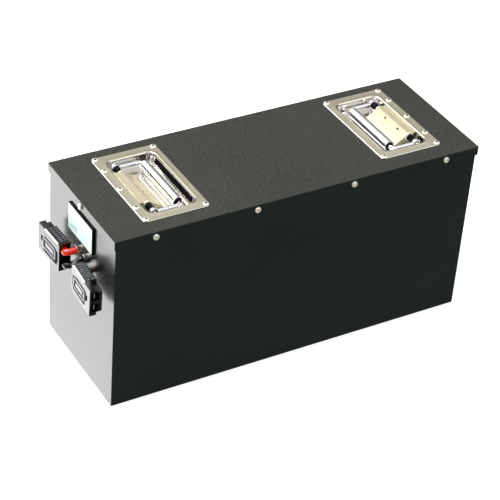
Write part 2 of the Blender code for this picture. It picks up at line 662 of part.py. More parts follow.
def main():
    """Build the whole pack."""
    for thing in list(bpy.data.objects):
        bpy.data.objects.remove(thing, do_unlink=True)
    finishes = make_finishes()
    make_tub(finishes)
    make_lid(finishes)
    make_gasket(finishes)
    make_screws(finishes)
    for side in HANDLE_CENTRES:
        make_handle(side, finishes)
    make_meter(finishes)
    make_glands(finishes)
    for key in CONNECTORS:
        make_connector(key, finishes)
    make_leads(finishes)
    make_cells(finishes)
    make_busbars(finishes)
    plate_x = make_stack_frame(finishes)
    make_electronics(finishes, plate_x)


main()
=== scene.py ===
"""A portable battery pack: steel case, two recessed handles, display and two leads with connectors."""
import json
import logging
import math
from collections.abc import Iterable, Sequence
from dataclasses import dataclass, field, replace
from enum import Enum

import bmesh
import bpy
from mathutils import Matrix, Vector


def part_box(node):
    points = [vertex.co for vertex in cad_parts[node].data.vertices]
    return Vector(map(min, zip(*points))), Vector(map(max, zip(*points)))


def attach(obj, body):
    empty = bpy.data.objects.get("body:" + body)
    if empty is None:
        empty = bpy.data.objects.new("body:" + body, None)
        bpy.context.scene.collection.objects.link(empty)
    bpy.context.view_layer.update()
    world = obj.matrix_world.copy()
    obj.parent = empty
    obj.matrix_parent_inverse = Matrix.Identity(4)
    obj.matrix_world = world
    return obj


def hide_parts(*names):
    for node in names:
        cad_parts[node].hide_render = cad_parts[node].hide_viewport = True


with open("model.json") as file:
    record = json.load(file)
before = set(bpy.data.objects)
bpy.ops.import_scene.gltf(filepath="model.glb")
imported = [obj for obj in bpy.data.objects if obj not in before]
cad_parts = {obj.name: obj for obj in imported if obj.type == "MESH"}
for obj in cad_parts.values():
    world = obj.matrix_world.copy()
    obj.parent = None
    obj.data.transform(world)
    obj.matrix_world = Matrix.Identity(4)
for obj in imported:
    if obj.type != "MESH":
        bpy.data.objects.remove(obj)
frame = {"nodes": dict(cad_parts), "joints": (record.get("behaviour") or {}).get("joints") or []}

LOG = logging.getLogger("battery_pack")
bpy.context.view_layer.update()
MM = 0.001
Outline = list[tuple[float, float]]


# ---------------------------------------------------------------- materials
class Pattern(Enum):
    """How a finish breaks up its surface."""
    GRAIN = "even grain"
    BRUSHED = "grain drawn out one way"
    SPECKLE = "grain with light specks"


def to_linear(hex_code: str) -> tuple[float, float, float, float]:
    """Turn an sRGB hex colour into linear RGBA.

    Args:
        hex_code: Six hex digits.
    Returns:
        The colour in linear light, with full alpha.
    """
    parts = (int(hex_code[start:start + 2], 16) / 255 for start in (0, 2, 4))
    return (*(part / 12.92 if part <= 0.04045 else ((part + 0.055) / 1.055) ** 2.4 for part in parts), 1.0)


def add_node(tree: bpy.types.NodeTree, kind: str, settings: dict | None = None,
             **inputs: object) -> bpy.types.Node:
    """Add a node, set its properties and fill its inputs.

    Args:
        tree: The tree that gets the node.
        kind: The node's type name.
        settings: Property values of the node.
        inputs: Input name with underscores for spaces, to a value or another node's output socket.
    Returns:
        The new node.
    """
    node = tree.nodes.new(kind)
    for key, value in (settings or {}).items():
        setattr(node, key, value)
    for key, value in inputs.items():
        socket = next(s for s in node.inputs if s.name == key.replace("_", " ") and s.enabled)
        if isinstance(value, bpy.types.NodeSocket):
            tree.links.new(value, socket)
        else:
            socket.default_value = value
    return node


@dataclass(frozen=True)
class Finish:
    """One real surface finish: its colours, gloss and the size of its texture."""
    name: str
    slot: str
    base: str
    shade: str
    metallic: float = 0.0
    gloss: tuple[float, float] = (0.3, 0.4)
    grain_mm: float = 1.0
    relief_mm: float = 0.02
    patch_mm: float = 60.0
    mix: float = 0.5
    pattern: Pattern = Pattern.GRAIN
    speck: str = "8C8C84"
    speck_edge: float = 0.66
    ior: float = 1.5
    coat: float = 0.0
    glow: float = 0.0

    def material(self) -> bpy.types.Material:
        """Return the material, made on first use."""
        found = bpy.data.materials.get(self.name)
        return found or self._make()

    def _make(self) -> bpy.types.Material:
        """Build the node tree: grain for bump and specks, patches for colour and gloss.

        Returns:
            The new material.
        """
        made = bpy.data.materials.new(self.name)
        made.use_nodes = True
        tree = made.node_tree
        shader = tree.nodes["Principled BSDF"]
        place = add_node(tree, "ShaderNodeTexCoord").outputs["Object"]
        drawn = (1.0, 0.04, 1.0) if self.pattern is Pattern.BRUSHED else (1.0, 1.0, 1.0)
        mapped = add_node(tree, "ShaderNodeMapping", Vector=place, Scale=drawn).outputs["Vector"]
        grain = add_node(tree, "ShaderNodeTexNoise", Vector=mapped, Scale=1 / (self.grain_mm * MM),
                         Detail=3.0, Roughness=0.6).outputs["Fac"]
        patch = add_node(tree, "ShaderNodeTexNoise", Vector=place, Scale=1 / (self.patch_mm * MM), Detail=4.0,
                         Roughness=0.55).outputs["Fac"]
        spread = add_node(tree, "ShaderNodeMapRange", Value=patch, From_Min=0.32, From_Max=0.68,
                          To_Max=self.mix).outputs["Result"]
        tone = add_node(tree, "ShaderNodeMix", {"data_type": "RGBA"}, Factor=spread)
        tone.inputs[6].default_value = to_linear(self.base)
        tone.inputs[7].default_value = to_linear(self.shade)
        colour = tone.outputs[2]
        if self.pattern is Pattern.SPECKLE:
            fleck = add_node(tree, "ShaderNodeTexNoise", Vector=place, Scale=1 / (1.7 * self.grain_mm * MM),
                             Detail=1.0).outputs["Fac"]
            share = add_node(tree, "ShaderNodeMapRange", Value=fleck, From_Min=self.speck_edge,
                             From_Max=self.speck_edge + 0.07).outputs["Result"]
            specked = add_node(tree, "ShaderNodeMix", {"data_type": "RGBA"}, Factor=share)
            tree.links.new(colour, specked.inputs[6])
            specked.inputs[7].default_value = to_linear(self.speck)
            colour = specked.outputs[2]
        tree.links.new(colour, shader.inputs["Base Color"])
        rough = add_node(tree, "ShaderNodeMapRange", Value=patch, From_Min=0.3, From_Max=0.7,
                         To_Min=self.gloss[0], To_Max=self.gloss[1]).outputs["Result"]
        tree.links.new(rough, shader.inputs["Roughness"])
        bump = add_node(tree, "ShaderNodeBump", Height=grain, Strength=1.0, Distance=self.relief_mm * MM)
        tree.links.new(bump.outputs["Normal"], shader.inputs["Normal"])
        shader.inputs["Metallic"].default_value = self.metallic
        shader.inputs["IOR"].default_value = self.ior
        shader.inputs["Coat Weight"].default_value = self.coat
        shader.inputs["Coat Roughness"].default_value = 0.06
        if self.glow:
            shader.inputs["Emission Color"].default_value = to_linear(self.base)
            shader.inputs["Emission Strength"].default_value = self.glow
        return made


# polyester powder coat baked on steel: fine orange peel, satin, near black, with light specks in the grain
# painted as glints
POWDER_COAT = Finish("black_powder_coat_satin", "black_powder_coat", "0E1712", "15201A", gloss=(0.22, 0.28),
                     grain_mm=1.5, relief_mm=0.006, patch_mm=140, pattern=Pattern.SPECKLE, speck="242B27",
                     speck_edge=0.68)
# a lighter, warmer copy of the coat for the lid's upward faces: painted light from above, with its light
# specks painted as glints of the grain
LIT_LID_COAT = Finish("black_powder_coat_lit_top", "black_powder_coat", "1E1F18", "2F2F25", gloss=(0.28, 0.36),
                  grain_mm=0.9, relief_mm=0.006, patch_mm=180, pattern=Pattern.SPECKLE, speck="76766A",
                  speck_edge=0.645)
# yellow-passivated zinc on stamped sheet: warm, faintly cloudy
ZINC_PLATE = Finish("zinc_passivated_steel", "zinc_plated_steel", "D8D3BC", "C6BEA2", metallic=1.0,
                    gloss=(0.15, 0.24), grain_mm=2.2, relief_mm=0.003, patch_mm=24)
# the same sheet inside the drawn dish, paler and less yellow: a painted reflection of the bright light that
# falls in the dish
DISH_SHEEN = Finish("zinc_dish_painted_sheen", "zinc_plated_steel", "E6E4DE", "D6D2C8", metallic=1.0,
                   gloss=(0.14, 0.22), grain_mm=3.0, relief_mm=0.001, patch_mm=24)
# half metallic too, so that the hinge cover stays as pale as the plate whichever way it slopes
SATIN_ZINC = Finish("zinc_passivated_satin", "zinc_plated_steel", "D2C9AC", "C2B796", metallic=0.55,
                    gloss=(0.32, 0.42), grain_mm=1.6, relief_mm=0.004, patch_mm=16)
# half metallic and near white, so that rivets and screws stay pale: a painted highlight standing in for
# bright domes, not the real metal
RIVET = Finish("pale_metal_painted_highlight", "bright_steel", "FAF6E8", "EEE8D4", metallic=0.55, gloss=(0.34, 0.44),
               grain_mm=0.9, relief_mm=0.003, patch_mm=6)
# bright nickel on small turned steel parts
NICKEL = Finish("bright_nickel_on_steel", "bright_steel", "E9E7DF", "D5D2C8", metallic=1.0,
                gloss=(0.12, 0.2), grain_mm=1.2, relief_mm=0.003, patch_mm=10)
# polished chrome: a hard clean mirror with slight drawing lines
CHROME = Finish("polished_chrome_tube", "chrome_plated_tube", "EDEDF0", "D9DAE0", metallic=1.0,
                gloss=(0.05, 0.10), grain_mm=0.8, relief_mm=0.001, patch_mm=30, pattern=Pattern.BRUSHED)
# oiled music wire
SPRING_WIRE = Finish("oiled_spring_wire", "spring_steel", "24252A", "15161A", metallic=1.0,
                     gloss=(0.3, 0.45), grain_mm=0.8, relief_mm=0.004, patch_mm=8)
# pressed mandrel heads, painted dark with next to no reflection: painted shade, so that they read as dark
# sockets
MANDREL_SHADE = Finish("mandrel_painted_shade", "spring_steel", "121214", "0A0A0C", gloss=(0.55, 0.7), grain_mm=0.5,
                 relief_mm=0.004, patch_mm=4, ior=1.12)
# moulded polycarbonate, glossy from a polished tool
POLYCARBONATE = Finish("black_polycarbonate_gloss", "black_plastic", "0A0A0C", "121215", gloss=(0.10, 0.18),
                       grain_mm=0.9, relief_mm=0.004, patch_mm=14, ior=1.58)
# paler than the real black plastic: a painted highlight on the ribs and the side frames, so that they stand
# out on it
RIB_HIGHLIGHT = Finish("polycarbonate_painted_highlight", "black_plastic", "84858A", "4A4B50", gloss=(0.16, 0.26),
                grain_mm=0.8, relief_mm=0.003, patch_mm=5, ior=1.58)
# polarised glass over a pale grey-green cell, with a faint painted glow so that it reads evenly lit
DISPLAY = Finish("display_glass_pale", "display_window", "E2F5F1", "CDEAE6", gloss=(0.10, 0.16), grain_mm=2.5,
                 relief_mm=0.001, patch_mm=32, mix=0.9, glow=0.10)
# liquid-crystal segments seen through the glass, with a faint painted glow
SEGMENT = Finish("display_segment_grey", "display_window", "A9C6CC", "94B4BC", gloss=(0.2, 0.3),
                 grain_mm=2.0, relief_mm=0.001, patch_mm=9, glow=0.12)
# extruded silicone insulation, glossy and slightly soft
RED_SILICONE = Finish("red_silicone_jacket", "red_silicone", "E02A12", "C6200E", gloss=(0.14, 0.20),
                      grain_mm=1.6, relief_mm=0.006, patch_mm=12, coat=1.0, ior=1.5)
BLACK_SILICONE = Finish("black_silicone_jacket", "black_silicone", "0B0B0C", "151516", gloss=(0.14, 0.22),
                        grain_mm=1.6, relief_mm=0.006, patch_mm=12, coat=0.4, ior=1.43)
# closed-cell polyethylene foam
FOAM = Finish("closed_cell_foam", "grey_foam", "3A3A3A", "2C2C2C", gloss=(0.85, 0.95), grain_mm=1.0,
              relief_mm=0.12, patch_mm=20)
# blue polyester film shrunk on an aluminium can
CELL_FILM = Finish("blue_film_on_can", "cell_film", "17406E", "123459", gloss=(0.22, 0.32), grain_mm=3.0,
                   relief_mm=0.01, patch_mm=50)
# milled and folded aluminium
ALUMINIUM = Finish("mill_finish_aluminium", "aluminium", "C9CBCE", "B4B7BC", metallic=1.0,
                   gloss=(0.28, 0.42), grain_mm=0.7, relief_mm=0.006, patch_mm=30, pattern=Pattern.BRUSHED)
# bare rolled copper strip
COPPER = Finish("rolled_copper_strip", "copper", "C77B53", "A9623F", metallic=1.0, gloss=(0.2, 0.34),
                grain_mm=0.9, relief_mm=0.006, patch_mm=18, pattern=Pattern.BRUSHED)
# silver-plated contact tongue
SILVERED = Finish("silver_plated_contact", "copper", "F2F0EA", "DCD8D0", metallic=1.0, gloss=(0.1, 0.2),
                  grain_mm=0.8, relief_mm=0.002, patch_mm=6)
# woven glass in green epoxy
EPOXY_BOARD = Finish("glass_epoxy_board", "epoxy_board", "2C5A39", "234A2E", gloss=(0.35, 0.5),
                     grain_mm=0.8, relief_mm=0.02, patch_mm=25)


# stand-ins for highlights and shade: the look is borrowed, the slot is the real piece's own
BEAD_SHINE = replace(NICKEL, name="moulded_bead_shine", slot="black_plastic")
SLOT_SHADE = replace(MANDREL_SHADE, name="moulded_slot_shade", slot="black_plastic")
WALL_SHADE = replace(MANDREL_SHADE, name="dish_wall_shade", slot="zinc_plated_steel")
RING_SHADE = replace(SPRING_WIRE, name="grip_rim_shade", slot="chrome_plated_tube")


# ---------------------------------------------------------------- shapes
def rounded(half_x: float, half_y: float, radius: float, centre: Sequence[float] = (0.0, 0.0),
            steps: int = 8) -> Outline:
    """Return a rounded rectangle, counter-clockwise.

    Args:
        half_x: Half its size along x.
        half_y: Half its size along y.
        radius: Corner radius.
        centre: Its middle.
        steps: Steps round each corner.
    Returns:
        The outline's points.
    """
    points = []
    for sign_x, sign_y, start in ((1, 1, 0), (-1, 1, 90), (-1, -1, 180), (1, -1, 270)):
        for step in range(steps + 1):
            angle = math.radians(start + 90 * step / steps)
            points.append((centre[0] + sign_x * (half_x - radius) + radius * math.cos(angle),
                           centre[1] + sign_y * (half_y - radius) + radius * math.sin(angle)))
    return points


def circle(radius: float, sides: int) -> Outline:
    """Return a circle's points, counter-clockwise."""
    return [(radius * math.cos(2 * math.pi * step / sides), radius * math.sin(2 * math.pi * step / sides))
            for step in range(sides)]


def loft(rings: Sequence[Iterable[Sequence[float]]], start: bool = True, end: bool = True) -> bpy.types.Mesh:
    """Join rings of equally many points into a skin.

    Args:
        rings: The rings in order, each a list of points.
        start: Cap the first ring.
        end: Cap the last ring.
    Returns:
        The mesh, with its faces pointing outwards where it is closed.
    """
    edit = bmesh.new()
    loops = [[edit.verts.new(point) for point in ring] for ring in rings]
    for low, high in zip(loops, loops[1:]):
        for index in range(len(low)):
            after = (index + 1) % len(low)
            edit.faces.new((low[index], low[after], high[after], high[index]))
    if start:
        edit.faces.new(loops[0][::-1])
    if end:
        edit.faces.new(loops[-1])
    if start and end:
        bmesh.ops.recalc_face_normals(edit, faces=edit.faces)
    mesh = bpy.data.meshes.new("loft")
    edit.to_mesh(mesh)
    edit.free()
    return mesh


def lathe(profile: Sequence[tuple[float, float]], origin: Sequence[float] = (0, 0, 0),
          axis: Sequence[float] = (0, 0, 1), sides: int = 32, closed: bool = False) -> bpy.types.Mesh:
    """Turn a profile round an axis.

    Args:
        profile: Pairs of radius and height.
        origin: Where the axis starts.
        axis: The axis direction.
        sides: Faces round the axis.
        closed: The profile is a loop, so the shape is a ring.
    Returns:
        The turned mesh.
    """
    turn = Vector((0, 0, 1)).rotation_difference(Vector(axis)).to_matrix()
    rings = [[Vector(origin) + turn @ Vector((x, y, height)) for x, y in circle(radius, sides)]
             for radius, height in (list(profile) + [profile[0]] if closed else profile)]
    mesh = loft(rings, not closed, not closed)
    if closed:
        edit = bmesh.new()
        edit.from_mesh(mesh)
        bmesh.ops.remove_doubles(edit, verts=edit.verts, dist=1e-7)
        bmesh.ops.recalc_face_normals(edit, faces=edit.faces)
        edit.to_mesh(mesh)
        edit.free()
    return mesh


def tube_curve(name: str, points: Sequence[Sequence[float]], radius: float,
               resolution: int) -> bpy.types.Curve:
    """Return a capped round tube along straight steps.

    Args:
        name: The curve's name.
        points: The tube's middle line.
        radius: The tube's radius.
        resolution: Fineness of its section.
    Returns:
        The curve, still a curve.
    """
    curve = bpy.data.curves.new(name, "CURVE")
    curve.dimensions = "3D"
    curve.bevel_depth = radius
    curve.bevel_resolution = resolution
    curve.use_fill_caps = True
    spline = curve.splines.new("POLY")
    spline.points.add(len(points) - 1)
    for target, point in zip(spline.points, points):
        target.co = (*point, 1.0)
    return curve


def merged(meshes: Sequence[bpy.types.Mesh]) -> bpy.types.Mesh:
    """Put several meshes into one, each still its own shell.

    Args:
        meshes: The meshes, in place.
    Returns:
        One mesh with all of their faces.
    """
    edit = bmesh.new()
    for mesh in meshes:
        edit.from_mesh(mesh)
    result = bpy.data.meshes.new("merged")
    edit.to_mesh(result)
    edit.free()
    return result


def block(low: Sequence[float], high: Sequence[float], bevel: float) -> bpy.types.Mesh:
    """Build a box with rounded edges.

    Args:
        low: Its lowest corner.
        high: Its highest corner.
        bevel: Width of the rounding.
    Returns:
        The box's mesh.
    """
    edit = bmesh.new()
    bmesh.ops.create_cube(edit, size=1.0)
    for vert in edit.verts:
        vert.co = Vector([low[i] + (vert.co[i] + 0.5) * (high[i] - low[i]) for i in range(3)])
    bmesh.ops.bevel(edit, geom=edit.edges[:], offset=bevel, segments=3, profile=0.5, affect="EDGES")
    mesh = bpy.data.meshes.new("block")
    edit.to_mesh(mesh)
    edit.free()
    return mesh


def baked(mesh: bpy.types.Mesh, modifiers: Sequence[tuple[str, dict[str, object]]]) -> bpy.types.Mesh:
    """Apply modifiers to a mesh in order.

    Args:
        mesh: The mesh to start from.
        modifiers: Pairs of modifier type and settings.
    Returns:
        The changed mesh.
    """
    holder = bpy.data.objects.new("holder", mesh)
    bpy.context.scene.collection.objects.link(holder)
    for index, (kind, settings) in enumerate(modifiers):
        modifier = holder.modifiers.new(f"step_{index}", kind)
        for key, value in settings.items():
            setattr(modifier, key, value)
    result = bpy.data.meshes.new_from_object(holder.evaluated_get(bpy.context.evaluated_depsgraph_get()))
    bpy.data.objects.remove(holder)
    return result


def carved(mesh: bpy.types.Mesh, cutters: Sequence[bpy.types.Mesh]) -> bpy.types.Mesh:
    """Cut shapes out of a mesh.

    Args:
        mesh: The mesh to cut.
        cutters: The shapes to take away.
    Returns:
        The cut mesh.
    """
    things = []
    for cutter in cutters:
        thing = bpy.data.objects.new("cutter", cutter)
        bpy.context.scene.collection.objects.link(thing)
        things.append(thing)
    result = baked(mesh, [("BOOLEAN", {"operation": "DIFFERENCE", "object": thing}) for thing in things])
    for thing in things:
        bpy.data.objects.remove(thing)
    return result


def from_cad(node: str, bevel: float, segments: int = 3) -> bpy.types.Mesh:
    """Return a CAD node's shape, merged into whole faces, with its sharp edges rounded.

    Args:
        node: Name of the CAD node.
        bevel: Width of the rounding.
        segments: Faces across the rounding.
    Returns:
        The rounded mesh.
    """
    edit = bmesh.new()
    edit.from_mesh(frame["nodes"][node].data)
    bmesh.ops.remove_doubles(edit, verts=edit.verts, dist=1e-6)
    bmesh.ops.dissolve_limit(edit, angle_limit=math.radians(0.5), verts=edit.verts, edges=edit.edges)
    mesh = bpy.data.meshes.new("from_cad")
    edit.to_mesh(mesh)
    edit.free()
    return baked(mesh, [("BEVEL", {"width": bevel, "segments": segments, "limit_method": "ANGLE",
                                   "angle_limit": math.radians(50), "use_clamp_overlap": True})])


def put(name: str, mesh: bpy.types.Mesh, finish: Finish, body: str, stands_for: Sequence[str] = (),
        smooth_angle: float = 35) -> bpy.types.Object:
    """Place a finished piece, dress it, tie it to its body and report it.

    Args:
        name: The piece's name.
        mesh: Its shape, in place.
        finish: Its surface finish.
        body: The body that it rides on.
        stands_for: CAD nodes that it replaces.
        smooth_angle: Edges sharper than this stay sharp, in degrees.
    Returns:
        The piece.
    """
    mesh.materials.clear()
    mesh.materials.append(finish.material())
    mesh.shade_smooth()
    mesh.set_sharp_from_angle(angle=math.radians(smooth_angle))
    mesh = baked(mesh, [("WEIGHTED_NORMAL", {"keep_sharp": True, "weight": 50})])
    mesh.name = name
    piece = bpy.data.objects.new(name, mesh)
    bpy.context.scene.collection.objects.link(piece)
    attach(piece, body)
    if stands_for:
        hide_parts(*stands_for)
    LOG.info("%s: %d faces in %s on %s", name, len(mesh.polygons), finish.name, body)
    return piece


# ---------------------------------------------------------------- geometry nodes
def new_tree(name: str, inputs: Sequence[tuple[str, str]]) -> tuple[bpy.types.NodeTree, bpy.types.Node]:
    """Start a geometry tree with named inputs.

    Args:
        name: The tree's name.
        inputs: Pairs of input name and socket type.
    Returns:
        The tree and its group input node.
    """
    tree = bpy.data.node_groups.new(name, "GeometryNodeTree")
    tree.interface.new_socket("Geometry", in_out="INPUT", socket_type="NodeSocketGeometry")
    for label, kind in inputs:
        tree.interface.new_socket(label, in_out="INPUT", socket_type=kind)
    tree.interface.new_socket("Geometry", in_out="OUTPUT", socket_type="NodeSocketGeometry")
    return tree, tree.nodes.new("NodeGroupInput")


def close_tree(tree: bpy.types.NodeTree, shape: bpy.types.NodeSocket,
               finish: bpy.types.NodeSocket) -> bpy.types.NodeTree:
    """End a tree in Realize Instances and Set Material.

    Args:
        tree: The tree to end.
        shape: Where its geometry comes out.
        finish: Where its material comes out.
    Returns:
        The same tree, ended.
    """
    real = add_node(tree, "GeometryNodeRealizeInstances", Geometry=shape).outputs["Geometry"]
    dressed = add_node(tree, "GeometryNodeSetMaterial", Geometry=real, Material=finish).outputs["Geometry"]
    add_node(tree, "NodeGroupOutput", Geometry=dressed)
    return tree


def copies_tree() -> bpy.types.NodeTree:
    """Build the tree that sets a copy of one shape on every point, turned by its facing and along.

    Returns:
        The tree, with inputs for the copy and its finish.
    """
    tree, given = new_tree("set_copies", [("Copy", "NodeSocketObject"), ("Finish", "NodeSocketMaterial")])
    facing = add_node(tree, "GeometryNodeInputNamedAttribute", {"data_type": "FLOAT_VECTOR"}, Name="facing")
    along = add_node(tree, "GeometryNodeInputNamedAttribute", {"data_type": "FLOAT_VECTOR"}, Name="along")
    stand = add_node(tree, "FunctionNodeAlignRotationToVector", {"axis": "Z"},
                     Vector=facing.outputs["Attribute"])
    turn = add_node(tree, "FunctionNodeAlignRotationToVector", {"axis": "X", "pivot_axis": "Z"},
                    Rotation=stand.outputs["Rotation"], Vector=along.outputs["Attribute"])
    copy = add_node(tree, "GeometryNodeObjectInfo", Object=given.outputs["Copy"])
    placed = add_node(tree, "GeometryNodeInstanceOnPoints", Points=given.outputs["Geometry"],
                      Instance=copy.outputs["Geometry"], Rotation=turn.outputs["Rotation"])
    return close_tree(tree, placed.outputs["Instances"], given.outputs["Finish"])


def coil_tree() -> bpy.types.NodeTree:
    """Build the tree that winds a close coil of round wire along +Z.

    Returns:
        The tree, with inputs for the coil's sizes and finish.
    """
    tree, given = new_tree("wind_coil", [("Turns", "NodeSocketFloat"), ("Coil Radius", "NodeSocketFloat"),
                                         ("Length", "NodeSocketFloat"), ("Wire Radius", "NodeSocketFloat"),
                                         ("Finish", "NodeSocketMaterial")])
    line = add_node(tree, "GeometryNodeCurveSpiral", Resolution=20, Rotations=given.outputs["Turns"],
                    Start_Radius=given.outputs["Coil Radius"], End_Radius=given.outputs["Coil Radius"],
                    Height=given.outputs["Length"])
    wire = add_node(tree, "GeometryNodeCurvePrimitiveCircle", Resolution=8,
                    Radius=given.outputs["Wire Radius"])
    tube = add_node(tree, "GeometryNodeCurveToMesh", Curve=line.outputs["Curve"],
                    Profile_Curve=wire.outputs["Curve"], Fill_Caps=True)
    return close_tree(tree, tube.outputs["Mesh"], given.outputs["Finish"])


def grow(tree: bpy.types.NodeTree, values: dict[str, object],
         seed: bpy.types.Mesh | None = None) -> bpy.types.Mesh:
    """Run a geometry tree once and return its result as a plain mesh.

    Args:
        tree: The geometry tree.
        values: Input name to value.
        seed: The mesh that the tree starts from.
    Returns:
        The evaluated mesh.
    """
    holder = bpy.data.objects.new("holder", seed or bpy.data.meshes.new("seed"))
    modifier = holder.modifiers.new("grow", "NODES")
    modifier.node_group = tree
    for item in tree.interface.items_tree:
        if item.item_type == "SOCKET" and item.in_out == "INPUT" and item.name in values:
            modifier[item.identifier] = values[item.name]
    bpy.context.scene.collection.objects.link(holder)
    result = bpy.data.meshes.new_from_object(holder.evaluated_get(bpy.context.evaluated_depsgraph_get()))
    bpy.data.objects.remove(holder)
    return result


@dataclass(frozen=True)
class Spot:
    """Where a repeated piece sits and which way it faces."""
    at: Vector
    facing: Vector
    along: Vector


class Repeater:
    """Sets copies of small shapes with one shared geometry tree."""

    def __init__(self) -> None:
        """Build the trees."""
        self.copies = copies_tree()
        self.coil = coil_tree()

    def set_copies(self, shape: bpy.types.Mesh, spots: Sequence[Spot], finish: Finish) -> bpy.types.Mesh:
        """Set a copy of a shape at every spot.

        Args:
            shape: The shape to repeat.
            spots: Where the copies go.
            finish: Their finish.
        Returns:
            One mesh of all the copies.
        """
        points = bpy.data.meshes.new("points")
        points.from_pydata([spot.at for spot in spots], [], [])
        for label in ("facing", "along"):
            layer = points.attributes.new(label, "FLOAT_VECTOR", "POINT")
            for index, spot in enumerate(spots):
                layer.data[index].vector = getattr(spot, label)
        model = bpy.data.objects.new("model", shape)
        bpy.context.scene.collection.objects.link(model)
        result = grow(self.copies, {"Copy": model, "Finish": finish.material()}, points)
        bpy.data.objects.remove(model)
        return result

    def wind(self, turns: float, radius: float, length: float, wire: float, finish: Finish) -> bpy.types.Mesh:
        """Return a coil along +Z from the origin."""
        return grow(self.coil, {"Turns": turns, "Coil Radius": radius, "Length": length, "Wire Radius": wire,
                                "Finish": finish.material()})


# ---------------------------------------------------------------- case
@dataclass
class Case:
    """Folded tub and lid with their pan-head screws."""
    lid_edge: float = 1.1 * MM
    tub_edge: float = 1.0 * MM
    head_radius: float = 4.0 * MM
    head_high: float = 2.6 * MM
    shank: float = 2.0 * MM
    screw_length: float = 7.5 * MM
    cross: tuple[float, float, float] = (0.55 * MM, 2.1 * MM, 1.7 * MM)
    least_rise: float = 0.8
    body: str = "case"

    def build(self, repeater: Repeater) -> None:
        """Build the sheet-metal shell and its screws.

        Args:
            repeater: Sets the screws.
        """
        put("case_tub", from_cad("case_body", self.tub_edge), POWDER_COAT, self.body, ["case_body"])
        lid = put("case_lid", from_cad("lid", self.lid_edge), LIT_LID_COAT, self.body, ["lid"])
        lid.data.materials.append(POWDER_COAT.material())
        # upward faces take the lighter copy, the rest the tub's coat: painted light from above
        for face in lid.data.polygons:
            face.material_index = int(face.normal.z < self.least_rise)
        put("lid_screws", repeater.set_copies(self.screw(), self.screw_spots(), RIVET), RIVET, self.body,
            self.screw_nodes())
        frame["nodes"]["lid_gasket"].data.materials.clear()
        frame["nodes"]["lid_gasket"].data.materials.append(FOAM.material())

    def screw_nodes(self) -> list[str]:
        """Return the CAD nodes of the lid screws."""
        return sorted(name for name in frame["nodes"] if name.startswith("lid_screw_"))

    def screw_spots(self) -> list[Spot]:
        """Find where each screw head meets the lid, facing out of the case.

        Returns:
            A spot for each screw, in the order of its node.
        """
        spots = []
        for name in self.screw_nodes():
            low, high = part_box(name)
            middle = (low + high) / 2
            axis = 0 if name.endswith("_end") else 1
            out = Vector((0, 0, 0))
            out[axis] = math.copysign(1, middle[axis])
            at = middle.copy()
            at[axis] = (low if out[axis] < 0 else high)[axis] - self.head_high * out[axis]
            # each cross is left at its own angle, as a driver leaves it
            spots.append(Spot(at, out, Vector((out.y, out.x, 0.7 + 0.3 * math.sin(40 * middle.x)))))
        return spots

    def screw(self) -> bpy.types.Mesh:
        """Build a pan-head screw along -Z, its cross recess cut in.

        Returns:
            The screw's mesh.
        """
        r, h = self.head_radius, self.head_high
        dome = [(r * math.sin(math.radians(a)) ** 0.6, h * (0.42 + 0.58 * math.cos(math.radians(a))))
                for a in (12, 28, 44, 58, 70, 80, 87)]
        head = lathe([(self.shank - 0.4 * MM, -self.screw_length),
                      (self.shank, 0.6 * MM - self.screw_length), (self.shank, 0.0), (r * 0.97, 0.0),
                      (r, 0.25 * MM), (r, 0.36 * h), *reversed(dome)], sides=28)
        half, reach, deep = self.cross
        arms = [block((-reach, -half, h - deep), (reach, half, h + MM), 0.15 * MM),
                block((-half, -reach, h - deep), (half, reach, h + MM), 0.15 * MM)]
        return carved(head, arms)


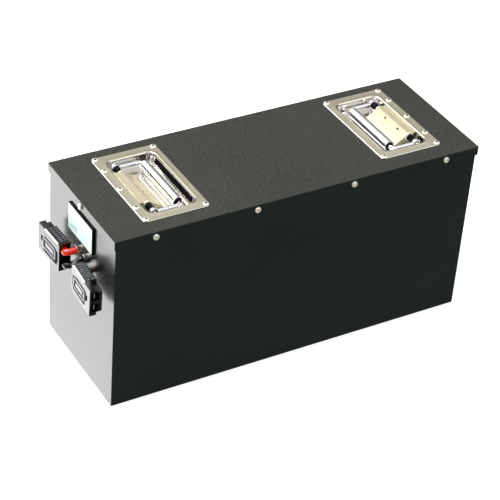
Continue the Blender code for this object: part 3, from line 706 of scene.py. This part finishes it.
# ---------------------------------------------------------------- handles
@dataclass
class RecessedHandle:
    """A stamped dish with a sprung bail and a tube grip; local +x points to the grip."""
    side: str
    repeater: Repeater
    plate_half: tuple[float, float] = (45.5 * MM, 75.2 * MM)
    plate_corner: float = 6.0 * MM
    plate_thick: float = 1.2 * MM
    dish_centre: float = 1.5 * MM
    dish_half: tuple[float, float] = (32.5 * MM, 61.0 * MM)
    dish_corner: float = 9.5 * MM
    cover_half: float = 36.5 * MM
    rod: float = 2.9 * MM
    arm_y: float = 52.5 * MM
    arm_bend: float = 7.5 * MM
    grip_radius: float = 7.2 * MM
    grip_bore: float = 3.7 * MM
    rivet_inset: float = 4.8 * MM
    rivet_rows: tuple[float, ...] = (-43.6 * MM, 0.0, 43.6 * MM)
    rivet_radius: float = 4.3 * MM
    rivet_high: float = 1.7 * MM
    dot_x: float = -15.5 * MM
    dot_rows: tuple[float, float] = (-12.6 * MM, 17.0 * MM)
    dot_drop: float = 2.35 * MM
    cover_slope: tuple[float, float] = (0.52, 0.854)
    band_rows: tuple[tuple[float, float], ...] = ((-0.35 * MM, -2.6 * MM), (-1.35 * MM, -6.0 * MM),
                                                  (-2.6 * MM, -9.6 * MM))
    band_end: float = 12.0 * MM
    skin_drop: float = 0.3 * MM
    wire: float = 0.75 * MM
    coil_radius: float = 3.65 * MM
    turn_pitch: float = 2.15
    body: str = "case"
    centre: Vector = field(init=False)
    facing: float = field(init=False)
    top: float = field(init=False)
    floor: float = field(init=False)
    hinge: Vector = field(init=False)

    def __post_init__(self) -> None:
        """Read the handle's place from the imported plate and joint."""
        low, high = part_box(f"{self.side}_handle_plate")
        self.centre = (low + high) / 2
        self.facing = 1.0 if self.side == "left" else -1.0
        self.top = high.z
        self.floor = low.z + self.plate_thick
        joint = next(j for j in frame["joints"] if j["child"] == f"{self.side}_handle")
        self.hinge = Vector(((joint["pos_m"][0] - self.centre.x) * self.facing, 0, joint["pos_m"][2]))

    @property
    def grip_x(self) -> float:
        """Return the grip's place from the handle's middle."""
        low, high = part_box(f"{self.side}_grip")
        return ((low.x + high.x) / 2 - self.centre.x) * self.facing

    def half_length(self, node: str) -> float:
        """Return half of a node's length along the hinge."""
        low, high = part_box(f"{self.side}_{node}")
        return (high.y - low.y) / 2

    def at(self, x: float, y: float, z: float) -> Vector:
        """Place a point of the handle's own frame."""
        return Vector((self.centre.x + self.facing * x, self.centre.y + self.facing * y, z))

    def across(self, profile: Sequence[tuple[float, float]], x: float, y: float, z: float, sides: int = 32,
               closed: bool = False) -> bpy.types.Mesh:
        """Turn a profile about a line parallel to the hinge."""
        return lathe(profile, self.at(x, y, z), (0, self.facing, 0), sides, closed)

    def ring_pair(self, ring: Sequence[tuple[float, float]], x: float, half: float) -> bpy.types.Mesh:
        """Turn a ring at both ends of a line parallel to the hinge, each facing outwards."""
        return merged([lathe(ring, self.at(x, sign * half, self.hinge.z),
                             (0, self.facing * sign, 0), 32, True) for sign in (-1, 1)])

    def build(self) -> None:
        """Build every piece of the handle."""
        side = self.side
        moving = f"{side}_handle"
        plate = put(f"{side}_stamped_dish", self.dish(), ZINC_PLATE, self.body, [f"{side}_handle_plate"], 30)
        plate.data.materials.append(DISH_SHEEN.material())
        # faces below the plate's top take the paler copy: painted reflection in the dish
        for face in plate.data.polygons:
            face.material_index = int(face.center.z < self.top - self.skin_drop)
        put(f"{side}_barrel_cover", self.cover(), SATIN_ZINC, self.body, [f"{side}_hinge_cover"], 40)
        put(f"{side}_cover_web", self.web(), SATIN_ZINC, self.body)
        put(f"{side}_wall_band", self.wall_shade_band(), WALL_SHADE, self.body)
        put(f"{side}_grip_end_rings", self.end_shade_rings(), RING_SHADE, moving)
        heads, cores = self.rivets()
        put(f"{side}_plate_rivets", heads, RIVET, self.body)
        put(f"{side}_rivet_mandrels", cores, MANDREL_SHADE, self.body)
        put(f"{side}_cover_bushes", self.bushes(), RIVET, self.body)
        put(f"{side}_bail_rod", self.bail(), CHROME, moving, [f"{side}_bail"])
        put(f"{side}_grip_tube", self.grip(), CHROME, moving, [f"{side}_grip"])
        put(f"{side}_pin", self.pin(), NICKEL, self.body, [f"{side}_hinge_pin"])
        for end in ("inner", "outer"):
            node = f"{side}_torsion_spring_{end}"
            put(f"{side}_coil_{end}", self.spring(node), SPRING_WIRE, self.body, [node])

    def dish(self) -> bpy.types.Mesh:
        """Build the stamped plate: a rolled rim falls into the dish.

        Returns:
            Plate and dish as one sheet with its thickness.
        """
        rings = [(self.plate_half[0], self.plate_half[1], -1.0, self.plate_corner, 0.0),
                 (self.plate_half[0], self.plate_half[1], -0.6, self.plate_corner, 0.0),
                 (self.plate_half[0] - 0.7 * MM, self.plate_half[1] - 0.7 * MM, 0.0,
                  self.plate_corner - 0.7 * MM, 0.0)]
        roll = [(5.4, 0.0), (4.3, 0.30), (3.1, 0.42), (1.9, 0.20), (0.9, -0.60), (0.2, -2.1), (-0.8, -6.0),
                (-2.4, -10.8), (-3.4, -12.6), (-4.8, -13.6), (-6.4, -14.0)]
        for more, height in roll:
            half = [value + more * MM for value in self.dish_half]
            rings.append((half[0], half[1], height, self.dish_corner + 0.7 * more * MM, self.dish_centre))
        crest, bottom = 0.28, -13.9
        skin = [[self.at(x, y, self.top + min(height, crest) * MM if height > bottom else self.floor)
                 for x, y in rounded(half_x, half_y, corner, (shift, 0.0))]
                for half_x, half_y, height, corner, shift in rings]
        mesh = loft(skin, start=False)
        up = sum(face.normal.z for face in mesh.polygons if abs(face.normal.z) > 0.9) > 0
        return baked(mesh, [("SOLIDIFY", {"thickness": 1.0 * MM, "offset": -1.0 if up else 1.0})])

    def cover(self) -> bpy.types.Mesh:
        """Return the hinge cover, its edges rolled over."""
        return from_cad(f"{self.side}_hinge_cover", 1.3 * MM, 4)

    def web(self) -> bpy.types.Mesh:
        """Build the sheet that closes the cover to the plate, with a pressed ridge on it.

        Returns:
            The sheet and its ridge as one mesh.
        """
        shapes = []
        sheet = ((-32.2, -36.2, -1.9), (-28.4, 36.2, -0.35), 0.3)
        ridge = ((-31.6, -22.0, -0.6), (-29.8, 24.0, 0.35), 0.6)
        for low, high, bevel in (sheet, ridge):
            corners = [self.at(x * MM, y * MM, self.top + z * MM) for x, y, z in (low, high)]
            shapes.append(block([min(pair) for pair in zip(*corners)],
                                [max(pair) for pair in zip(*corners)], bevel * MM))
        return merged(shapes)

    def wall_shade_band(self) -> bpy.types.Mesh:
        """Build the band of painted shade on the dish wall beyond the grip.

        Returns:
            The band's mesh.
        """
        reach = self.dish_centre + self.dish_half[0]
        half = self.dish_half[1] - self.band_end
        rows = [(reach + x, z) for x, z in self.band_rows]
        rings = []
        for y in (-half, half):
            back = [(x + 0.7 * MM, z - 0.2 * MM) for x, z in reversed(rows)]
            rings.append([self.at(x, y, self.top + z) for x, z in [*rows, *back]])
        return loft(rings)

    def end_shade_rings(self) -> bpy.types.Mesh:
        """Build the dark rims of the grip's open ends: painted shade in the tube's mouths.

        Returns:
            Both rims as one mesh.
        """
        rim = [(3.3 * MM, -0.5 * MM), (5.6 * MM, -0.5 * MM), (5.9 * MM, 0.0), (5.6 * MM, 0.35 * MM),
               (3.3 * MM, 0.35 * MM)]
        return self.ring_pair(rim, self.grip_x, self.half_length("grip"))

    def bushes(self) -> bpy.types.Mesh:
        """Build the pale bosses round the springs at the cover's ends.

        Returns:
            Both bosses as one mesh.
        """
        ring = [(4.6 * MM, -0.6 * MM), (6.1 * MM, -0.6 * MM), (6.3 * MM, 0.0), (6.0 * MM, 0.9 * MM),
                (5.3 * MM, 1.3 * MM), (4.7 * MM, 0.9 * MM)]
        return self.ring_pair(ring, self.hinge.x, self.cover_half - 0.4 * MM)

    def rivet_spots(self) -> list[Spot]:
        """Find where the seven plate rivets sit.

        Returns:
            A spot for each rivet, facing up.
        """
        x = self.plate_half[0] - self.rivet_inset
        y = self.plate_half[1] - self.rivet_inset
        places = [(x, y), (x, -y), (-x, y), (-x, -y), *((-x, row) for row in self.rivet_rows)]
        return [Spot(self.at(px, py, self.top), Vector((0, 0, 1)), Vector((1, 0, 0))) for px, py in places]

    def rivets(self) -> tuple[bpy.types.Mesh, bpy.types.Mesh]:
        """Build the domed heads and the mandrel ends in them, with two small ones on the cover; the mandrel
        ends are painted dark as the shade in the holes.

        Returns:
            The heads as one mesh and the mandrel ends as another.
        """
        r, h = self.rivet_radius, self.rivet_high
        head = lathe([(r * 0.9, -0.2 * MM), (r, 0.15 * h), (r * 0.93, 0.5 * h), (r * 0.74, 0.82 * h),
                      (r * 0.5, h), (r * 0.42, h), (r * 0.38, 0.55 * h)], sides=20)
        core = lathe([(r * 0.40, 0.3 * h), (r * 0.40, 0.86 * h), (r * 0.28, 1.06 * h)], sides=12)
        small_head = lathe([(1.9 * MM, -0.1 * MM), (2.0 * MM, 0.2 * MM), (1.5 * MM, 0.7 * MM),
                            (0.8 * MM, 0.85 * MM)], sides=16)
        small_core = lathe([(1.5 * MM, 0.5 * MM), (1.5 * MM, 0.85 * MM), (1.1 * MM, 1.0 * MM)], sides=12)
        cover_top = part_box(f"{self.side}_hinge_cover")[1].z
        slope = Vector((self.cover_slope[0] * self.facing, 0, self.cover_slope[1]))
        small = [Spot(self.at(self.dot_x, y, cover_top - self.dot_drop), slope, Vector((0, 1, 0)))
                 for y in self.dot_rows]
        spots = self.rivet_spots()
        copies = self.repeater.set_copies
        return (merged([copies(head, spots, RIVET), copies(small_head, small, RIVET)]),
                merged([copies(core, spots, MANDREL_SHADE), copies(small_core, small, MANDREL_SHADE)]))

    def bail(self) -> bpy.types.Mesh:
        """Build the bent rod with an eye at each arm's end.

        Returns:
            Rod and eyes as one mesh.
        """
        bend = [(self.grip_x - self.arm_bend + self.arm_bend * math.sin(math.radians(15 * step)),
                 self.arm_y - self.arm_bend + self.arm_bend * math.cos(math.radians(15 * step)))
                for step in range(7)]
        half = [(self.hinge.x + 4.2 * MM, self.arm_y), (self.hinge.x + 12 * MM, self.arm_y), *bend]
        path = half + [(x, -y) for x, y in reversed(half)]
        curve = tube_curve("bail", [self.at(x, y, self.hinge.z) for x, y in path], self.rod, 5)
        holder = bpy.data.objects.new("holder", curve)
        bpy.context.scene.collection.objects.link(holder)
        rod = bpy.data.meshes.new_from_object(holder.evaluated_get(bpy.context.evaluated_depsgraph_get()))
        bpy.data.objects.remove(holder)
        eye = [(2.95 * MM, -2.1 * MM), (3.4 * MM, -2.5 * MM), (5.0 * MM, -2.5 * MM), (5.5 * MM, -1.9 * MM),
               (5.5 * MM, 1.9 * MM), (5.0 * MM, 2.5 * MM), (3.4 * MM, 2.5 * MM), (2.95 * MM, 2.1 * MM)]
        eyes = [self.across(eye, self.hinge.x, y, self.hinge.z, closed=True)
                for y in (-self.arm_y, self.arm_y)]
        return merged([rod, *eyes])

    def grip(self) -> bpy.types.Mesh:
        """Build the grip tube, its ends rolled in.

        Returns:
            The tube's mesh.
        """
        half = self.half_length("grip")
        r, b = self.grip_radius, self.grip_bore
        profile = [(b, 0.5 * MM - half), (b + 0.4 * MM, -half), (r - 0.9 * MM, -half),
                   (r - 0.25 * MM, 0.3 * MM - half), (r, 1.0 * MM - half), (r, half - 1.0 * MM),
                   (r - 0.25 * MM, half - 0.3 * MM), (r - 0.9 * MM, half), (b + 0.4 * MM, half),
                   (b, half - 0.5 * MM)]
        return self.across(profile, self.grip_x, 0.0, self.hinge.z, 40, True)

    def pin(self) -> bpy.types.Mesh:
        """Build the hinge pin.

        Returns:
            The pin's mesh.
        """
        half = self.half_length("hinge_pin")
        return self.across([(1.6 * MM, -half), (2.2 * MM, 0.3 * MM - half), (2.5 * MM, 0.9 * MM - half),
                            (2.5 * MM, half - 0.9 * MM), (2.2 * MM, half - 0.3 * MM), (1.6 * MM, half)],
                           self.hinge.x, 0.0, self.hinge.z, 24)

    def spring(self, node: str) -> bpy.types.Mesh:
        """Build one torsion spring, wound close round the pin.

        Args:
            node: The spring's CAD node.
        Returns:
            The coil's mesh.
        """
        low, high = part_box(node)
        length = high.y - low.y - 2 * self.wire
        turns = round(length / (self.turn_pitch * self.wire))
        mesh = self.repeater.wind(turns, self.coil_radius, length, self.wire, SPRING_WIRE)
        mesh.transform(Matrix.Translation(((low.x + high.x) / 2, low.y + self.wire, (low.z + high.z) / 2))
                       @ Matrix.Rotation(math.radians(-90), 4, "X"))
        return mesh


# ---------------------------------------------------------------- display
@dataclass
class Meter:
    """Snap-in panel meter on the end wall."""
    body: str = "case"
    back: tuple[float, float] = (61 * MM, 31 * MM)
    lip: float = 0.3 * MM
    bars: int = 5
    bar_inset: float = 7.0 * MM
    bar_pitch: float = 4.2 * MM
    bar_half: float = 1.4 * MM
    bar_foot: float = 5.0 * MM
    bar_top: float = 9.0 * MM
    bar_step: float = 1.2 * MM

    def build(self) -> None:
        """Build the bezel, the window and its faint gauge."""
        low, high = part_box("meter_housing")
        middle = (low + high) / 2
        half_y, half_z = (high.y - low.y) / 2, (high.z - low.z) / 2
        wall = frame["nodes"]["case_body"]
        wall_x = min(v.co.x for v in wall.data.vertices) - 0.3 * MM
        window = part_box("meter_window")
        win_y, win_z = (window[1].y - window[0].y) / 2, (window[1].z - window[0].z) / 2

        def ring(x: float, y: float, z: float, corner: float) -> list[tuple[float, float, float]]:
            """Return a rounded ring across X."""
            return [(x, py, pz) for py, pz in rounded(y, z, corner, (middle.y, middle.z), 5)]

        rings = [ring(high.x, self.back[0] / 2, self.back[1] / 2, 1.0 * MM),
                 ring(wall_x, self.back[0] / 2, self.back[1] / 2, MM),
                 ring(wall_x, half_y, half_z, 1.2 * MM), ring(low.x + 0.7 * MM, half_y, half_z, 1.2 * MM),
                 ring(low.x + 0.2 * MM, half_y - 0.2 * MM, half_z - 0.2 * MM, 1.1 * MM),
                 ring(low.x, half_y - 0.6 * MM, half_z - 0.6 * MM, 0.9 * MM),
                 ring(low.x, win_y + self.lip, win_z + self.lip, 0.6 * MM),
                 ring(low.x + 1.2 * MM, win_y + self.lip, win_z + self.lip, 0.6 * MM)]
        put("meter_bezel", loft(rings), POLYCARBONATE, self.body, ["meter_housing"])
        face = [ring(window[1].x, win_y, win_z, 0.5 * MM),
                ring(window[0].x + 0.15 * MM, win_y, win_z, 0.5 * MM),
                ring(window[0].x, win_y - 0.2 * MM, win_z - 0.2 * MM, 0.4 * MM)]
        put("meter_face", loft(face), DISPLAY, self.body, ["meter_window"])
        marks = []
        base = middle.z - win_z
        for index in range(self.bars):
            y = middle.y + win_y - self.bar_inset - self.bar_pitch * index
            marks.append(block((window[0].x - 0.06 * MM, y - self.bar_half, base + self.bar_foot),
                               (window[0].x + 0.05 * MM, y + self.bar_half,
                                base + self.bar_top + self.bar_step * index), 0.02 * MM))
        put("meter_gauge_bars", merged(marks), SEGMENT, self.body)


# ---------------------------------------------------------------- leads
@dataclass(frozen=True)
class ConnectorPlace:
    """Where a connector housing hangs: rear face, direction along the wall, yaw off it and droop."""
    rear_y: float
    middle_z: float
    direction: int
    yaw: float
    droop: float


class Pole(Enum):
    """A connector's two poles, as steps up or down from its middle."""
    UPPER = 1
    LOWER = -1


@dataclass
class LeadSet:
    """Wall glands, four short silicone leads and two genderless two-pole connectors."""
    repeater: Repeater
    body: str = "case"
    wall_x: float = -260.0 * MM
    housing_x: float = -276.0 * MM
    housing: tuple[float, float, float] = (55.5 * MM, 40.0 * MM, 16.5 * MM)
    pole_pitch: float = 20.0 * MM
    lead: float = 9.0 * MM
    gland_middle: tuple[float, float] = (-5.5 * MM, 169.0 * MM)
    gland_pitch: float = 20.0 * MM
    bulge: float = 17.2 * MM
    upper_red_bulge: float = 19.0 * MM
    rib_rows: tuple[float, float] = (-1.6 * MM, 4.2 * MM)
    rib_start: float = 6.0 * MM
    rib_pitch: float = 4.2 * MM
    ribs: int = 8
    contact_share: float = 0.86
    places: dict[str, ConnectorPlace] = field(default_factory=lambda: {
        "rear": ConnectorPlace(13.0 * MM, 166.8 * MM, 1, math.radians(2.5), math.radians(-1.0)),
        "front": ConnectorPlace(-25.0 * MM, 164.0 * MM, -1, math.radians(2.5), math.radians(2.5))})

    def place(self, key: str, along: float, across: float, up: float) -> Vector:
        """Place a point of a connector's own frame.

        Args:
            key: Which connector.
            along: Distance from its rear face.
            across: Distance from its middle towards the wall.
            up: Distance above its middle.
        Returns:
            The point in the shared frame.
        """
        spot = self.places[key]
        level = along * math.cos(spot.droop) + up * math.sin(spot.droop)
        height = up * math.cos(spot.droop) - along * math.sin(spot.droop)
        x = self.housing_x + across * math.cos(spot.yaw) - level * math.sin(spot.yaw)
        y = spot.rear_y + spot.direction * (level * math.cos(spot.yaw) + across * math.sin(spot.yaw))
        return Vector((x, y, spot.middle_z + height))

    def exits(self) -> dict[tuple[str, Pole], tuple[float, float]]:
        """Work out each lead's exit on the wall.

        Returns:
            Connector and pole, to the place along and up the wall.
        """
        half = self.gland_pitch / 2
        return {(key, pole): (self.gland_middle[0] + spot.direction * half,
                              self.gland_middle[1] + pole.value * half)
                for key, spot in self.places.items() for pole in Pole}

    def route(self, key: str, pole: Pole) -> list[Vector]:
        """Plan a lead's route: out of the wall, round its bend, into the housing.

        Args:
            key: Which connector.
            pole: Which of its poles.
        Returns:
            The route's points, from inside the wall to inside the housing.
        """
        exit_y, exit_z = self.exits()[key, pole]
        direction = self.places[key].direction
        up = pole.value * self.pole_pitch / 2
        inside, deep, mouth = (self.place(key, along * MM, 0.0, up) for along in (15.5, 7.0, -1.0))
        drop = mouth.z - exit_z
        bulge = self.upper_red_bulge if (key, pole) == ("rear", Pole.UPPER) else self.bulge
        steps = [(15.0, 0.0, 0.0), (2.0, 0.0, 0.0), (-6.5, 0.0, 0.0), (-14.3, 1.1, 0.30)]
        route = [Vector((self.wall_x + x * MM, exit_y + direction * y * MM, exit_z + share * drop))
                 for x, y, share in steps]
        return [*route, Vector((self.wall_x - bulge, exit_y + direction * 4.2 * MM, exit_z + 0.70 * drop)),
                mouth, deep, inside]

    def smooth(self, route: Sequence[Vector], spacing: float) -> list[Vector]:
        """Run a smooth curve through a route.

        Args:
            route: The route's points.
            spacing: Distance between the new points.
        Returns:
            Evenly spaced points on the curve.
        """
        padded = [2 * route[0] - route[1], *route, 2 * route[-1] - route[-2]]
        fine = []
        for index in range(len(route) - 1):
            before, start, end, after = padded[index:index + 4]
            for step in range(24):
                t = step / 24
                fine.append(0.5 * (2 * start + (end - before) * t
                                   + (2 * before - 5 * start + 4 * end - after) * t ** 2
                                   + (3 * start - before - 3 * end + after) * t ** 3))
        fine.append(route[-1])
        length = sum((b - a).length for a, b in zip(fine, fine[1:]))
        count = max(4, round(length / spacing))
        points, walked = [fine[0]], 0.0
        for a, b in zip(fine, fine[1:]):
            walked += (b - a).length
            if walked >= length * len(points) / count - 1e-9 and len(points) < count:
                points.append(b)
        return [*points, fine[-1]]

    def build(self) -> None:
        """Build the glands, the housings with their details, then the leads into them."""
        put("wall_glands", from_cad("lead_glands", 0.5 * MM, 2), NICKEL, self.body, ["lead_glands"])
        housings = {key: self.build_connector(key) for key in self.places}
        plan = [("red_lead_rear", "rear", Pole.UPPER, RED_SILICONE),
                ("black_lead_rear", "rear", Pole.LOWER, BLACK_SILICONE),
                ("black_lead_front", "front", Pole.UPPER, BLACK_SILICONE),
                ("red_lead_front", "front", Pole.LOWER, RED_SILICONE)]
        for node, key, pole, finish in plan:
            points = self.smooth(self.route(key, pole), 0.25 * self.lead)
            curve = tube_curve(f"{node}_jacket", points, self.lead / 2, 6)
            curve.splines[0].use_smooth = True
            curve.materials.append(finish.material())
            jacket = bpy.data.objects.new(f"{node}_jacket", curve)
            bpy.context.scene.collection.objects.link(jacket)
            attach(jacket, self.body)
            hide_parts(node)

    def prism(self, key: str, low: tuple[float, float, float], high: tuple[float, float, float],
              bevel: float) -> bpy.types.Mesh:
        """Build a rounded block in a connector's own frame.

        Args:
            key: Which connector.
            low: Its lowest corner, as along, across and up.
            high: Its highest corner, as along, across and up.
            bevel: Width of the rounding.
        Returns:
            The block's mesh.
        """
        mesh = block(low, high, bevel)
        for vert in mesh.vertices:
            vert.co = self.place(key, *vert.co)
        if self.places[key].direction > 0:
            mesh.flip_normals()
        return mesh

    def build_connector(self, key: str) -> bpy.types.Object:
        """Build one housing, its grip ribs, edge bead, side frames, slots and contacts.

        Args:
            key: Which connector.
        Returns:
            The housing's own piece, which its leads end in.
        """
        length, height, thick = self.housing
        half_h, half_t = height / 2, thick / 2
        shell = put(f"{key}_housing_shell", from_cad(f"{key}_connector_housing", 0.7 * MM, 3),
                    POLYCARBONATE, self.body, [f"{key}_connector_housing"])
        spots = []
        up = (self.place(key, 0, 0, 1) - self.place(key, 0, 0, 0)).normalized()
        run = (self.place(key, 1, 0, 0) - self.place(key, 0, 0, 0)).normalized()
        for row in self.rib_rows:
            for step in range(self.ribs):
                along = self.rib_start + self.rib_pitch * step
                spots.append(Spot(self.place(key, along, row, half_h), up, run))
        rib = block((-0.8 * MM, -2.1 * MM, -0.4 * MM), (0.8 * MM, 2.1 * MM, 1.1 * MM), 0.35 * MM)
        # the ribs are painted pale grey as their highlights
        put(f"{key}_grip_ribs", self.repeater.set_copies(rib, spots, RIB_HIGHLIGHT), RIB_HIGHLIGHT, self.body)
        # the bead takes bright nickel: a painted highlight along the black housing's edge
        bead = self.prism(key, (3 * MM, -half_t - 0.3 * MM, half_h - 1.5 * MM),
                          (length - 17 * MM, -half_t + 1.9 * MM, half_h + 0.9 * MM), 0.9 * MM)
        put(f"{key}_edge_bead", bead, BEAD_SHINE, self.body)
        out = -half_t
        frame_plan = [((10, -1.3, -8.6), (40, 0.3, -6.4)), ((10, -1.3, 5.4), (40, 0.3, 7.6)),
                      ((8.0, -1.3, -6.8), (10.4, 0.3, 6.0)), ((39.4, -1.3, -6.8), (41.8, 0.3, 6.0)),
                      ((14, -0.9, -3.6), (34, 0.3, 2.2))]
        slot_plan = [((6, -0.5, -13.4), (40, 0.5, -8.9)), ((4.0, -0.5, -8.8), (7.7, 0.5, 6.0)),
                     ((44.5, -0.5, -2.0), (47.5, 0.5, 5.0)), ((11, -0.4, 2.5), (38, 0.3, 5.2))]

        def side_blocks(plan: Sequence[tuple[tuple[float, ...], tuple[float, ...]]],
                        bevel: float) -> bpy.types.Mesh:
            """Set blocks on the outer face.

            Args:
                plan: Pairs of corners in millimetres, each along, out and up.
                bevel: Width of the rounding.
            Returns:
                The blocks as one mesh.
            """
            return merged([self.prism(key, (low[0] * MM, out + low[1] * MM, low[2] * MM),
                                      (high[0] * MM, out + high[1] * MM, high[2] * MM), bevel)
                           for low, high in plan])

        # the side frames are painted pale as their highlights
        put(f"{key}_side_frame", side_blocks(frame_plan, 0.45 * MM), RIB_HIGHLIGHT, self.body)
        # the latch slots are dark blocks: painted shade in their recesses
        put(f"{key}_latch_slots", side_blocks(slot_plan, 0.2 * MM), SLOT_SHADE, self.body)
        contacts = []
        for pole in Pole:
            middle = pole.value * self.pole_pitch / 2 * self.contact_share
            contacts.append(self.prism(key, (length - 23.5 * MM, -2.4 * MM, middle - 3.4 * MM),
                                       (length - 1.6 * MM, -0.6 * MM, middle + 3.4 * MM), 0.6 * MM))
        put(f"{key}_contacts", merged(contacts), SILVERED, self.body)
        return shell


# ---------------------------------------------------------------- inside
class Inside:
    """The sealed cell stack: its CAD shapes stay and get their finishes."""

    FINISHES = (("cell_", CELL_FILM), ("busbar_", COPPER), ("end_plate_", ALUMINIUM),
                ("protection_module", ALUMINIUM), ("side_board_", EPOXY_BOARD), ("top_board", EPOXY_BOARD),
                ("base_pad", FOAM), ("internal_positive_cable", RED_SILICONE),
                ("internal_negative_cable", BLACK_SILICONE))

    def build(self) -> None:
        """Dress every inner node."""
        for name, thing in sorted(frame["nodes"].items()):
            finish = next((value for start, value in self.FINISHES if name.startswith(start)), None)
            if finish:
                thing.data.materials.clear()
                thing.data.materials.append(finish.material())
                LOG.info("%s: CAD shape in %s", name, finish.name)


# ---------------------------------------------------------------- studio
@dataclass
class Studio:
    """Camera, soft light and pale floor."""
    azimuth: float = -32.253573
    elevation: float = 35.553924
    roll: float = 4.687406
    target: tuple[float, float, float] = (-0.011738, 0.005187, 0.104)
    distance: float = 2.46212
    lens: float = 134.826
    floor_size: float = 12.0
    floor_gap: float = 0.5 * MM
    floor_tone: float = 0.9
    floor_glow: float = 0.55
    sky: tuple[tuple[float, float], ...] = ((0.0, 0.17), (0.44, 0.15), (0.50, 0.05), (0.66, 0.12),
                                            (0.75, 0.66), (0.82, 0.88), (1.0, 1.0))

    def back(self) -> Vector:
        """Return the direction from the object to the camera."""
        a, e = math.radians(self.azimuth), math.radians(self.elevation)
        return Vector((math.sin(a) * math.cos(e), -math.cos(a) * math.cos(e), math.sin(e)))

    def add_camera(self) -> None:
        """Add the camera."""
        back = self.back()
        side = Vector((0, 0, 1)).cross(back).normalized()
        up = back.cross(side)
        turn = math.radians(self.roll)
        right = side * math.cos(turn) + up * math.sin(turn)
        over = -side * math.sin(turn) + up * math.cos(turn)
        pose = Matrix((right, over, back)).transposed().to_4x4()
        pose.translation = Vector(self.target) + back * self.distance
        data = bpy.data.cameras.new("camera")
        data.sensor_width = 36.0
        data.lens = self.lens
        data.dof.use_dof = False
        camera = bpy.data.objects.new("camera", data)
        camera.matrix_world = pose
        bpy.context.scene.collection.objects.link(camera)
        bpy.context.scene.camera = camera

    def add_softbox(self, name: str, at: Sequence[float], aim: Sequence[float], size: tuple[float, float],
                    power: float) -> None:
        """Add a rectangular area light that the camera doesn't see.

        Args:
            name: The light's name.
            at: Where it hangs.
            aim: The point it faces.
            size: Width and height in metres.
            power: Power in watts.
        """
        data = bpy.data.lights.new(name, "AREA")
        data.shape = "RECTANGLE"
        data.size, data.size_y = size
        data.energy = power
        light = bpy.data.objects.new(name, data)
        facing = (Vector(at) - Vector(aim)).to_track_quat("Z", "Y").to_matrix().to_4x4()
        light.matrix_world = Matrix.Translation(at) @ facing
        light.visible_camera = False
        bpy.context.scene.collection.objects.link(light)

    def add_sheet(self, name: str, size: tuple[float, float], place: Matrix, tone: float,
                  glow: float) -> bpy.types.Object:
        """Add a flat glowing sheet of the set.

        Args:
            name: The sheet's name.
            size: Width and height in metres.
            place: Where it stands.
            tone: How much light it scatters.
            glow: How much light it gives.
        Returns:
            The sheet.
        """
        half_w, half_h = size[0] / 2, size[1] / 2
        mesh = bpy.data.meshes.new(name)
        mesh.from_pydata([(-half_w, -half_h, 0), (half_w, -half_h, 0), (half_w, half_h, 0),
                          (-half_w, half_h, 0)], [], [(0, 1, 2, 3)])
        mesh.transform(place)
        paper = bpy.data.materials.new(f"{name}_paper")
        paper.use_nodes = True
        shader = paper.node_tree.nodes["Principled BSDF"]
        shader.inputs["Base Color"].default_value = (tone, tone, tone, 1)
        shader.inputs["Roughness"].default_value = 0.9
        shader.inputs["Specular IOR Level"].default_value = 0.0
        shader.inputs["Emission Color"].default_value = (1, 1, 1, 1)
        shader.inputs["Emission Strength"].default_value = glow
        mesh.materials.append(paper)
        sheet = bpy.data.objects.new(name, mesh)
        bpy.context.scene.collection.objects.link(sheet)
        return sheet

    def add_glow_card(self, name: str, at: Sequence[float], aim: Sequence[float], size: tuple[float, float],
                      strength: float) -> None:
        """Add a bright card that only reflections see.

        Args:
            name: The card's name.
            at: Where it hangs.
            aim: The point it faces.
            size: Width and height in metres.
            strength: How much light it gives.
        """
        facing = (Vector(aim) - Vector(at)).to_track_quat("Z", "Y").to_matrix().to_4x4()
        card = self.add_sheet(name, size, Matrix.Translation(at) @ facing, 0.0, strength)
        card.visible_camera = card.visible_diffuse = card.visible_shadow = False

    def build(self) -> None:
        """Light the set."""
        scene = bpy.context.scene
        scene.view_settings.view_transform = "Standard"
        self.add_camera()
        world = bpy.data.worlds.new("soft_room")
        scene.world = world
        world.use_nodes = True
        tree = world.node_tree
        tree.nodes.clear()
        towards = add_node(tree, "ShaderNodeTexCoord").outputs["Generated"]
        rise = add_node(tree, "ShaderNodeSeparateXYZ", Vector=towards)
        level = add_node(tree, "ShaderNodeMapRange", Value=rise.outputs["Z"], From_Min=-1.0,
                         From_Max=1.0).outputs["Result"]
        ramp = add_node(tree, "ShaderNodeValToRGB", Fac=level)
        for index, (place, tone) in enumerate(self.sky):
            stop = ramp.color_ramp.elements[index] if index < 2 else ramp.color_ramp.elements.new(place)
            stop.position, stop.color = place, (tone, tone, tone, 1.0)
        sky = add_node(tree, "ShaderNodeBackground", Color=ramp.outputs["Color"], Strength=1.0)
        add_node(tree, "ShaderNodeOutputWorld", Surface=sky.outputs["Background"])
        floor = self.add_sheet("floor", (self.floor_size, self.floor_size),
                               Matrix.Translation((0, 0, -self.floor_gap)), self.floor_tone,
                               self.floor_glow)
        floor.visible_glossy = False
        self.add_softbox("key", (-0.9, 0.5, 1.9), (0, 0, 0.15), (1.4, 1.4), 34)
        self.add_softbox("fill", (1.2, -1.6, 1.4), (0, 0, 0.1), (1.6, 1.2), 6)
        self.add_glow_card("upper_card", (-1.05, 1.9, 2.0), (0, 0, 0.25), (2.6, 1.6), 3.0)
        self.add_glow_card("left_card", (-1.10, 1.30, -0.95), (-0.26, 0.0, 0.12), (2.6, 2.6), 3.9)


def main() -> None:
    """Build the pack, piece by piece."""
    logging.basicConfig(level=logging.INFO, format="%(name)s %(message)s")
    Studio().build()
    repeater = Repeater()
    LeadSet(repeater).build()
    Case().build(repeater)
    for side in ("left", "right"):
        RecessedHandle(side, repeater).build()
    Meter().build()
    Inside().build()


if __name__ == "__main__":
    main()
